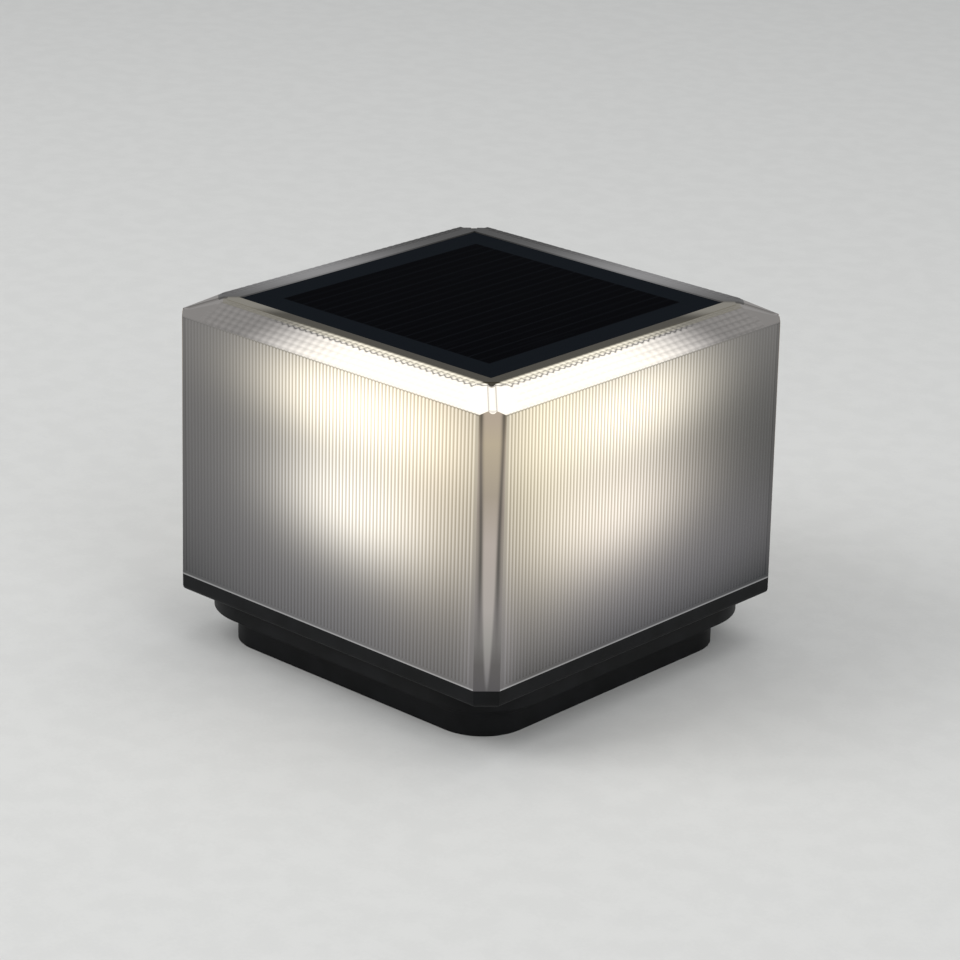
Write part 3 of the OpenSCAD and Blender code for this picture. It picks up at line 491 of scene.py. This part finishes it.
stretch = add(prisms, "ShaderNodeCombineXYZ", {
    0: size["Pitch"] * corner_reach, 1: size["Row step"] * corner_reach, 2: size["Height"]})
sized = add(prisms, "GeometryNodeTransform", {"Geometry": squared, "Scale": stretch})
tilt = add(prisms, "ShaderNodeCombineXYZ", {0: size["Slope"]})
cells = add(prisms, "GeometryNodeInstanceOnPoints", {0: placed, 1: inside, 2: sized, 5: tilt})
close_tree(prisms, size, four_sides(prisms, cells))

# %% [markdown]
# The lit diffuser is frosted plastic with white light behind it. Real transmission through a ribbed
# shell would be slow, noisy and lost on export, so the plastic is opaque here and its glow is painted
# as emission in object space. What the eye sees is the sum of a few soft lobes: on each side two hot
# spots from the upper and lower pair of lights, a wide haze round them, and a warm glow in the upper
# part of the front corner. A lobe is a Gaussian, with its own centre, spread and colour. The rear half
# mirrors the front half, so two sides' lobes serve all four.

# %% Diffuser: where a point lies
# Frosted polycarbonate: milky grey where it is unlit, with a soft gloss on the reeds.
polycarbonate, tree = new_material("frosted_polycarbonate")
where, normal = millimetres(tree)
x, y, z = where.parts()
near_x, near_y = x.math("MAXIMUM", y), x.math("MINIMUM", y)
folded = Field(tree, add(tree, "ShaderNodeCombineXYZ", {0: near_x, 1: near_y, 2: z}), True)
side_x, side_y = abs(x), abs(y)
reach, along = side_x.math("MAXIMUM", side_y), side_x.math("MINIMUM", side_y)
diag = (side_x + side_y) / root2
lateral = (reach - along) / root2
from_corner = 2 * lamp_half / MM - near_x + near_y
from_rear = x - y + 2 * lamp_half / MM
rise = z - rim_z / MM
print("a point is placed by", len(tree.nodes), "nodes")

# %% Diffuser: which zone it is in
soft_edge = 0.1
facet_diag = rise * (-lean * root2) + (root2 * lamp_half - facet_half) / MM
on_corner = (diag - facet_diag).fade(-3 * soft_edge, -soft_edge)
above_wall = z.fade(wall_top_z / MM, wall_top_z / MM + 0.25)
on_bevel = above_wall * (1.0 - on_corner)
front_turn = 3.0
on_front = (x - y).fade(-front_turn, front_turn)
hip_diag = (root2 * lip_half - hip_lip_half) / MM
inward = (lip_half / MM - reach).math("MINIMUM", hip_diag - diag)
rear_overhang = 2.4
lip_edge = on_front * rear_overhang + ((lip_half - edge_half) / MM - rear_overhang)
on_lip = above_wall * (inward - lip_edge).fade(-soft_edge, soft_edge)

# %% Diffuser: glow behind the walls
glow_lobes = {
    # centre in mm, spread in mm, linear colour
    "front upper spot": ((15.3, -100, 143), (50, 80, 21.5), (1.087, 0.985, 0.779)),
    "front lower spot": ((18.5, -100, 98), (45, 58, 26), (0.775, 0.725, 0.627)),
    "right upper spot": ((100, -9.9, 142), (61, 46, 22), (0.918, 0.838, 0.682)),
    "right lower spot": ((100, -18.6, 96.7), (24, 50, 27), (0.694, 0.622, 0.530)),
    "front corner glow": ((64.4, -100, 144), (33.5, 27, 62), (0.365, 0.300, 0.198)),
    "right corner glow": ((100, -66.3, 159), (28, 33, 67.5), (0.530, 0.467, 0.322)),
    "front haze": ((22, -100, 40), (160, 14, 83), (0.174, 0.164, 0.169)),
    "right haze": ((100, -14, 53.7), (12, 160, 40), (0.158, 0.148, 0.156)),
}
foot_light = (-0.0665, -0.059, -0.060)
climb = (0.185, 0.174, 0.172)
climb_height = 120
glow = climb * (rise / climb_height) + foot_light
for centre, spread, colour in glow_lobes.values():
    shares = (folded - centre) / spread
    square = add(tree, "ShaderNodeVectorMath", {0: shares, 1: shares}, operation="DOT_PRODUCT")
    glow = glow + colour * (Field(tree, square.outputs["Value"]) * -1.0).math("EXPONENT")
glow = glow.math("MAXIMUM", (0, 0, 0))
print(len(glow_lobes), "lobes of light")

# %% [markdown]
# The moulded details change that glow. Crests of the reeds are painted brighter than their valleys, and
# a thin line of painted shade, notched by the reeds' ends, darkens the edge under the bevel. A bright
# thread of light runs along the smooth rim at the foot, where the wall guides light out of its edge.

# %% Diffuser: reeds, edge and rim
reed_contrast = 0.36
reed_contrast_lost = 0.30
edge_shade_depth = 0.52
edge_shade_lost = 0.34
# Painted highlight on the reeds' crests and painted shade in their valleys, warmer in the valleys.
wave = (along * (2 * math.pi * MM / reed_pitch)).math("COSINE")
in_field = 1.0 - along.fade(field_half / MM - soft_edge, field_half / MM + soft_edge)
above_rim = z.fade(reed_low_z / MM - soft_edge, reed_low_z / MM + soft_edge)
reeded = in_field * above_rim * (1.0 - above_wall)
far_end = from_corner.fade(110.0, 185.0)
contrast = (reed_contrast - reed_contrast_lost * far_end) * (0.5 + 0.5 * z.fade(55.0, 105.0)) * reeded
ripple = (0.93, 1.0, 1.15) * (wave * contrast) + (1, 1, 1)
# Painted shade: a thin dark line along the edge under the bevel, notched by the reeds' ends.
notch = wave * in_field * 0.18 + (wall_top_z / MM - 0.2)
edge_shade = 1.0 - z.bell(notch, 0.32) * (edge_shade_depth - edge_shade_lost * far_end)
smooth_tone = 0.8 + 0.2 * in_field
rim_thread = z.bell(rim_z / MM + 0.2, 0.45) * 0.22
wall_light = glow * (smooth_tone * edge_shade) * ripple + rim_thread

# %% [markdown]
# The smooth corner facets have no light straight behind them. They show the screw post as a strip of
# painted light, which narrows to a point at the foot, between two bands of painted shade. Both the strip
# and the facet round it go from warm to neutral on the way down, so the colours of their painted light by
# height are stops of two ramps.

# %% Diffuser: corner facets
post_light_stops = [
    # height in mm, linear colour
    (33, (0.10, 0.098, 0.10)), (38, (0.154, 0.148, 0.151)), (45, (0.216, 0.205, 0.201)),
    (55, (0.280, 0.271, 0.253)), (70, (0.372, 0.341, 0.317)), (100, (0.420, 0.367, 0.326)),
    (122, (0.351, 0.298, 0.232)), (145, (0.449, 0.377, 0.266)), (157, (0.415, 0.341, 0.262)),
]
facet_light_stops = [
    (33, (0.063, 0.059, 0.063)), (45, (0.084, 0.079, 0.077)), (55, (0.148, 0.141, 0.135)),
    (70, (0.208, 0.190, 0.182)), (100, (0.271, 0.240, 0.201)), (115, (0.298, 0.253, 0.212)),
    (130, (0.426, 0.362, 0.293)), (145, (0.516, 0.426, 0.322)), (157, (0.322, 0.266, 0.182)),
]
wall_h = wall_top_z - rim_z


def by_height(stops):
    ramp = add(tree, "ShaderNodeValToRGB", {0: rise / (wall_h / MM)})
    marks = ramp.color_ramp.elements
    for _ in stops[2:]:
        marks.new(0.5)
    for mark, (height, colour) in zip(marks, stops):
        mark.position = (height - rim_z / MM) / (wall_h / MM)
        mark.color = (*colour, 1)
    return ramp


strip_top_half = 4.4
shade_band_depth = 0.7
strip_half = (rise.math("MAXIMUM", 0.0) / (wall_h / MM)).math("SQRT") * strip_top_half
off_strip = (lateral - strip_half).fade(-0.75, 0.55)
facet_light = off_strip.between(by_height(post_light_stops), by_height(facet_light_stops))
# Two bands of painted shade run beside the post's strip of painted light.
shade_band_at = 3.8 + 0.9 * z.fade(95.0, 155.0)
shade_band = lateral.bell(shade_band_at, 0.95) * z.fade(38.0, 95.0)
lit_end = 1.0 - from_corner.fade(40.0, 120.0)
facet_tone = (1.0 - shade_band_depth * shade_band) * (0.6 + 0.4 * lit_end)
light = on_corner.between(wall_light, facet_light * facet_tone)

# %% [markdown]
# The bevel gathers more light than the wall below it. It is blown out from the front corner to the
# middle of each side and falls off towards the far ends, where the pillows begin to show in painted light
# and shade. Two fine lines of painted shade run along the groove in each hip, and a scalloped line of
# painted shade follows the lip, where the pillows end.

# %% Diffuser: bevel
pillow_pitch = 4.4
pillow_row = 3.15
pillow_first = 2.4
pillow_contrast = 0.1
scale_pitch = 3.67
scale_sway = 0.35
scallop_at = 1.1
scallop_shade_depth = 0.8
bevel_bright = 1.14
bevel_lost = 0.98
slope_shade = 0.3
far = from_corner.fade(95.0, 160.0)
bevel_level = bevel_bright - bevel_lost * far
up_slope = (z - wall_top_z / MM) / math.sin(bevel_angle)
wave_up = ((up_slope - pillow_first) * (2 * math.pi / pillow_row)).math("COSINE")
wave_on = (along * (2 * math.pi / pillow_pitch)).math("COSINE")
# Painted light and shade over the pillows, in rows and columns.
pillows = (wave_up + wave_on) * (1.0 - along.fade(72.0, 82.0)) * from_corner.fade(75.0, 125.0)
# Painted shade: two fine dark lines along the groove in each hip.
hip_shade = 1.0 - 0.5 * lateral.bell(groove_laterals[-1] / MM + 0.1, 0.3)
facing = normal.parts()[2] * slope_shade + (1 - slope_shade * math.cos(bevel_angle))
column = (along * (2 * math.pi / scale_pitch)).math("COSINE")
near = 1.0 - from_corner.fade(140.0, 166.0)
# Painted shade: a scalloped dark line along the lip, where the pillows end.
scallop_shade = inward.bell(column * -scale_sway - scallop_at, 0.42) * near
bevel_tone = (1.0 + pillow_contrast * pillows) * hip_shade * facing * edge_shade
bevel_tone = bevel_tone * (1.0 - scallop_shade_depth * scallop_shade)
bevel_tint = far.between((1.0, 0.935, 0.83), (1.12, 1.06, 1.02))
light = on_bevel.between(light, bevel_tint * (bevel_tone * bevel_level))

# %% [markdown]
# The flat lip has two zones. Its outer part carries the fine pillows, painted bright in the middle with
# brown painted shade between. Its inner part looks down on the panel's edge, so on the two front sides it
# stays a dark grey strip of painted shade, while on the two rear sides the whole lip is pale with painted
# light and fades towards the rear corner.

# %% Diffuser: lip
arc_rows = (1.0, -0.7)
arc_width = 0.45
arc_shade_depth = 0.72
rear_bright = 0.17
rear_least = 0.012
strip_end = 1.0 - from_corner.fade(164.0, 182.0)
# Painted shade: the dark grey strip on the inner part of the lip's two front sides.
lip_shade = (lip_half / MM - reach).fade(3.4, 4.2) * (on_front * strip_end) * on_lip
# Painted highlight in the middle of each fine pillow and painted shade in brown arcs between them.
shade_arcs = sum(inward.bell(column * -scale_sway + row, arc_width) for row in arc_rows)
lip_tone = (0.78 + 0.20 * far) * (1.0 + 0.16 * column * near) * (1.0 - arc_shade_depth * shade_arcs * near)
front_level = bevel_level * lip_tone * (1.0 - lip_shade)
# Painted light on the rear lip, fading towards the rear corner, with a line of painted shade along each hip.
rear_level = (rear_least + rear_bright * from_rear.bell(142.0, 45.0)) * (1.0 - 0.9 * lateral.bell(0.0, 1.2))
front_light = (1.0, 0.93, 0.76) * front_level + (0.025, 0.021, 0.012) * lip_shade
rear_light = (0.99, 0.98, 1.0) * rear_level
light = on_lip.between(light, on_front.between(rear_light, front_light))

# %% [markdown]
# The surface itself is quiet: dark grey under its own light, a fine grain in roughness and bump, and
# little gloss, so that the painted glow and not the studio decides what the eye sees.

# %% Diffuser: surface
grain = add(tree, "ShaderNodeTexNoise", {"Vector": where, "Scale": 2.5, "Detail": 3.0})
bump = add(tree, "ShaderNodeBump", {"Strength": 0.12, "Distance": 0.02 * MM, "Height": grain})
roughness = add(tree, "ShaderNodeMapRange", {0: grain, 3: 0.32, 4: 0.45})
# The base colour is darker on the front lip's strip of painted shade.
body_and_shade_tint = lip_shade.between(linear("#373635")[:3], linear("#262421")[:3])
surface = add(tree, "ShaderNodeBsdfPrincipled", {
    "Base Color": body_and_shade_tint, "Roughness": roughness, "Specular IOR Level": 0.12, "IOR": 1.58, "Normal": bump,
    "Emission Color": light, "Emission Strength": 1.0})
add(tree, "ShaderNodeOutputMaterial", {0: surface})
print("diffuser material:", len(tree.nodes), "nodes")

# %% [markdown]
# With its material made, the diffuser goes together from four meshes on the head's body: the lofted
# shell, which stands for the frame's solid, the reeds, the bevel's pillows and the lip's finer ones.

# %% Diffuser: shell, reeds and prisms
shell_mesh.materials.append(polycarbonate)
new_piece("diffuser_shell", shell_mesh, "head", ["diffuser"])

reed_mesh = grown(reeds, {
    "Pitch": reed_pitch, "Depth": reed_depth, "Seat": 0.2 * MM, "Count": reed_count, "Half width": lamp_half,
    "Low end": reed_low_z, "High end": reed_high_z, "Round end": 1.0 * MM, "Lean": lean,
    "Material": polycarbonate})
reed_mesh.shade_smooth()
reed_mesh.set_sharp_from_angle(angle=math.radians(40))
new_piece("diffuser_reeds", reed_mesh, "head")

prism_sets = {
    "diffuser_pillows": {
        "Pitch": pillow_pitch * MM, "Row step": pillow_row * MM, "Rows": 4, "Columns": 37, "Fill": 0.92,
        "First row": pillow_first * MM, "Height": 0.3 * MM, "Top share": 0.45, "Half run": 86 * MM,
        "Edge y": -top_half, "Edge z": wall_top_z, "Slope": bevel_angle},
    "diffuser_scales": {
        "Pitch": scale_pitch * MM, "Row step": 2 * MM, "Rows": 2, "Columns": 43, "Fill": 0.9,
        "First row": 0.95 * MM, "Height": 0.25 * MM, "Top share": 0.5, "Half run": 80 * MM,
        "Edge y": -edge_half, "Edge z": lip_z - scale_step, "Slope": 0.0},
}
for name, sizes in prism_sets.items():
    new_piece(name, grown(prisms, {**sizes, "Material": polycarbonate}), "head")

# %% [markdown]
# The solar panel is black glass over dark cells. At the camera's low angle clear glass would show only
# the sky, so the cells are painted into the glass as the eye finds them: a slightly paler border, ten
# strips with hair lines between them, a silver ribbon down each that hardly shows, and a trace of dust
# along the strips. Its gloss is kept low, because the real panel stays near black.

# %% Panel glass
# Tempered black glass: near black with a grey-blue border, which frames the panel.
panel_glass, tree = new_material("tempered_panel_glass")
where, _ = millimetres(tree)
x, y, _ = where.parts()
cells_half = 63.2
cell_step = 12.7
finger_step = 1.6
in_cells = 1.0 - abs(x).math("MAXIMUM", abs(y)).fade(cells_half - 0.2, cells_half + 0.4)
off_ribbon = abs((x / cell_step).math("FRACT") - 0.5) * cell_step
gap_line = off_ribbon.fade(cell_step / 2 - 0.6, cell_step / 2 - 0.25)
ribbon = 1.0 - off_ribbon.fade(0.5, 0.8)
fingers = 0.12 + 0.12 * (y * (2 * math.pi / finger_step)).math("COSINE")
dust = add(tree, "ShaderNodeTexNoise", {
    "Vector": where * (0.25, 0.02, 1.0), "Scale": 1.0, "Detail": 6.0, "Roughness": 0.65})
dusty = Field(tree, dust).fade(0.52, 0.75)
marks = gap_line.math("MAXIMUM", 0.5 * ribbon).math("MAXIMUM", fingers).math("MAXIMUM", 0.55 * dusty)
cell_tint = marks.between(linear("#020204")[:3], linear("#0d0f13")[:3])
panel_tint = in_cells.between(linear("#12161b")[:3], cell_tint)
smear = add(tree, "ShaderNodeMapRange", {0: dust, 3: 0.22, 4: 0.42})
surface = add(tree, "ShaderNodeBsdfPrincipled", {
    "Base Color": panel_tint, "Roughness": smear, "Specular IOR Level": 0.001})
add(tree, "ShaderNodeOutputMaterial", {0: surface})
print("panel glass:", len(tree.nodes), "nodes")

# %% [markdown]
# The other pieces share one recipe: a base colour that varies a little with a noise of the right size,
# the same noise in the roughness, and a bump of real depth. What changes from finish to finish is the
# grain's size and depth, the gloss, and whether it is metal. Long grains are drawn out along one axis.

# %% Recipe for plain finishes
patch_scale = 0.06


def finish(name, colour, shade, rough, grain, depth, metal=0.0, gloss=0.5, coat=0.0, draw=(1, 1, 1),
           glow=0.0):
    material, tree = new_material(name)
    where, _ = millimetres(tree)
    noise = add(tree, "ShaderNodeTexNoise", {
        "Vector": where * draw, "Scale": 1 / grain, "Detail": 5.0, "Roughness": 0.6})
    patch = add(tree, "ShaderNodeTexNoise", {"Vector": where, "Scale": patch_scale, "Detail": 2.0})
    share = (Field(tree, patch) - 0.5) * 1.6 + noise
    tint = share.fade(0.25, 0.75).between(linear(colour)[:3], linear(shade)[:3])
    wear = add(tree, "ShaderNodeMapRange", {0: noise, 3: rough - 0.06, 4: rough + 0.08})
    relief = add(tree, "ShaderNodeBump", {"Strength": 0.6, "Distance": depth * MM, "Height": noise})
    surface = add(tree, "ShaderNodeBsdfPrincipled", {
        "Base Color": tint, "Roughness": wear, "Metallic": metal, "Specular IOR Level": gloss,
        "Coat Weight": coat, "Emission Strength": glow, "Normal": relief})
    if glow:
        surface.inputs["Emission Color"].default_value = linear(colour)
    add(tree, "ShaderNodeOutputMaterial", {0: surface})
    return material


# %% Plain finishes
finishes = {
    # Spark-eroded black ABS: deep black with a fine satin grain that breaks up the light
    "black_abs": finish("satin_black_abs", "#0c0d0e", "#141517", 0.52, 0.45, 0.03, gloss=0.15),
    # White ABS: bright and matt, so that the core throws light outwards
    "white_abs": finish("matt_white_abs", "#e9e9e4", "#f3f3ef", 0.6, 0.6, 0.02),
    # Closed-cell foam: dull charcoal with open pores
    "foam": finish("closed_cell_foam", "#1d1e20", "#303236", 0.95, 0.9, 0.15, gloss=0.15),
    # Silicone seal: soft dark grey with a dusty bloom
    "rubber_seal": finish("silicone_rubber", "#26272a", "#3a3b3e", 0.8, 1.4, 0.02, gloss=0.3),
    # Zinc-plated steel: cool metal with fine turning marks and duller patches
    "steel": finish("zinc_plated_steel", "#b4b6b8", "#8f9294", 0.34, 0.25, 0.01, metal=1.0,
                    draw=(1, 1, 5)),
    # Tinned copper ribbon: soft silver, rolled along its length
    "tinned_copper": finish("tinned_ribbon", "#b9bbbc", "#96999b", 0.4, 0.3, 0.01, metal=1.0,
                            draw=(4, 0.3, 1)),
    # Monocrystalline silicon: blue-black and slightly silky
    "silicon": finish("coated_silicon", "#0b0e1a", "#151b2f", 0.3, 0.5, 0.005, coat=0.3, draw=(0.4, 6, 1)),
    # Laminated backing sheet: dull black film with a woven memory
    "panel_backing": finish("laminated_backing", "#0f1114", "#1a1c20", 0.6, 0.8, 0.02, gloss=0.3),
    # Epoxy package of a chip: fine sandy black
    "chip_black": finish("epoxy_package", "#141416", "#232326", 0.62, 0.2, 0.02, gloss=0.35),
    # Phosphor in clear resin: warm yellow that glows from inside
    "led": finish("phosphor_resin", "#ffe2a0", "#ffd070", 0.25, 0.4, 0.01, coat=0.5, glow=1.2),
    # Shrunk film round a cell: glossy blue with slight puckers
    "battery_wrap": finish("shrunk_film", "#2f5f8f", "#3f75a8", 0.28, 5.0, 0.08, coat=0.4, draw=(0.3, 1, 1)),
    # Button cap: dull red plastic, rubbed smooth by fingers
    "red_button": finish("rubbed_red_plastic", "#a82820", "#bd3a2e", 0.42, 0.6, 0.02),
    # Lead insulation: soft, slightly wavy vinyl in three colours
    "red_lead": finish("red_vinyl", "#8f2119", "#a63328", 0.4, 3.0, 0.03),
    "white_lead": finish("white_vinyl", "#d2d2cd", "#e2e2de", 0.4, 3.0, 0.03),
    "black_lead": finish("black_vinyl", "#17171a", "#26262a", 0.4, 3.0, 0.03),
}
print(len(finishes), "plain finishes")

# %% [markdown]
# Circuit boards need a pattern as well as a grain. Both kinds carry copper tracks under the lacquer:
# they run in steps, so a brick pattern with wide gaps stands in for them, a little lighter than the
# board. The light boards are lacquered white, so that they waste no light.

# %% Circuit boards
def circuit_board(name, colour, track, rough):
    material, tree = new_material(name)
    where, _ = millimetres(tree)
    x, y, z = where.parts()
    flat = add(tree, "ShaderNodeCombineXYZ", {0: x + z * 0.7, 1: y, 2: z})
    tracks = add(tree, "ShaderNodeTexBrick", {
        "Vector": flat, "Color1": linear(colour), "Color2": linear(colour), "Mortar": linear(track),
        "Scale": 1.0, "Mortar Size": 0.35, "Mortar Smooth": 0.1, "Brick Width": 9.0, "Row Height": 3.2})
    grain = add(tree, "ShaderNodeTexNoise", {"Vector": where, "Scale": 1.6, "Detail": 4.0})
    wear = add(tree, "ShaderNodeMapRange", {0: grain, 3: rough - 0.05, 4: rough + 0.07})
    relief = add(tree, "ShaderNodeBump", {
        "Strength": 0.5, "Distance": 0.03 * MM, "Height": tracks.outputs[1]})
    surface = add(tree, "ShaderNodeBsdfPrincipled", {
        "Base Color": tracks, "Roughness": wear, "Coat Weight": 0.3, "Normal": relief})
    add(tree, "ShaderNodeOutputMaterial", {0: surface})
    return material


finishes["circuit_board"] = circuit_board("green_solder_mask", "#17482c", "#2a6a45", 0.35)
finishes["light_board"] = circuit_board("white_solder_mask", "#e6e8e6", "#d3d6d4", 0.4)
finishes["panel_glass"] = panel_glass
print(len(finishes), "finishes for the frame's pieces")

# %% [markdown]
# The frame's own solids are true to the object everywhere except the diffuser, so they stay and only
# get their finishes. One table says which finish each of them wears.

# %% Dress the frame's pieces
dressed = {
    "black_abs": ["mounting_foot", "base_plate", "battery_hatch", "switch_body", "switch_nut"],
    "white_abs": ["light_core"],
    "foam": ["foot_seal", "panel_foam"],
    "rubber_seal": ["diffuser_seal", "hatch_seal", "switch_seal", "vent_plug", "lead_grommet"],
    "steel": ["lock_screws", "diffuser_screws", "core_screws", "light_board_screws", "control_board_screws",
              "hatch_screws", "battery_springs", "battery_contacts"],
    "tinned_copper": ["cell_ribbons"],
    "silicon": ["solar_cells"],
    "panel_backing": ["panel_back"],
    "chip_black": ["board_parts"],
    "led": ["leds"],
    "battery_wrap": ["battery_cells"],
    "red_button": ["switch_button"],
    "red_lead": ["panel_leads"],
    "white_lead": ["light_leads"],
    "black_lead": ["battery_leads", "switch_leads"],
    "circuit_board": ["control_board"],
    "light_board": ["light_boards"],
    "panel_glass": ["panel_glass"],
}
for slot, names in dressed.items():
    for name in names:
        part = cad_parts[name]
        for place in part.material_slots:
            place.material = finishes[slot]
        if not part.material_slots:
            part.data.materials.append(finishes[slot])
print("dressed", sum(len(names) for names in dressed.values()), "of", len(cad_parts), "nodes")

# %% [markdown]
# Floor and light are a plain studio: a pale floor that runs out of sight, a pale world for soft fill,
# and three large soft lamps. Their level is set so that a colour renders about as it is written.

# %% Studio
# Matt painted board: plain and pale, so that only the object carries detail
matt_board = finish("matt_board", "#d8d8d6", "#dbdbd9", 0.9, 2.0, 0.01, gloss=0.1)
floor_half = 6.0
floor_mesh = bpy.data.meshes.new("floor")
floor_corners = [(x * floor_half, y * floor_half, 0) for x, y in ((-1, -1), (1, -1), (1, 1), (-1, 1))]
floor_mesh.from_pydata(floor_corners, [], [(0, 1, 2, 3)])
floor = bpy.data.objects.new("floor", floor_mesh)
floor_mesh.materials.append(matt_board)
bpy.context.scene.collection.objects.link(floor)

world = bpy.data.worlds.new("studio")
world.use_nodes = True
world.node_tree.nodes.clear()
sky = add(world.node_tree, "ShaderNodeBackground", {0: linear("#dcdee0"), 1: 0.62})
add(world.node_tree, "ShaderNodeOutputWorld", {0: sky})
bpy.context.scene.world = world

lamps = {
    # place, size and watts
    "key": ((-1.2, -1.6, 1.9), 1.6, 30),
    "fill": ((1.9, -0.5, 1.5), 1.6, 14),
    "top": ((0.2, 0.6, 2.4), 1.8, 12),
}
for name, (place_at, size_m, watts) in lamps.items():
    data = bpy.data.lights.new(name, "AREA")
    data.size = size_m
    data.energy = watts
    lamp = bpy.data.objects.new(name, data)
    bpy.context.scene.collection.objects.link(lamp)
    lamp.location = place_at
    lamp.rotation_euler = (Vector((0, 0, 0.08)) - Vector(place_at)).to_track_quat("-Z", "Y").to_euler()
bpy.context.scene.view_settings.view_transform = "Standard"
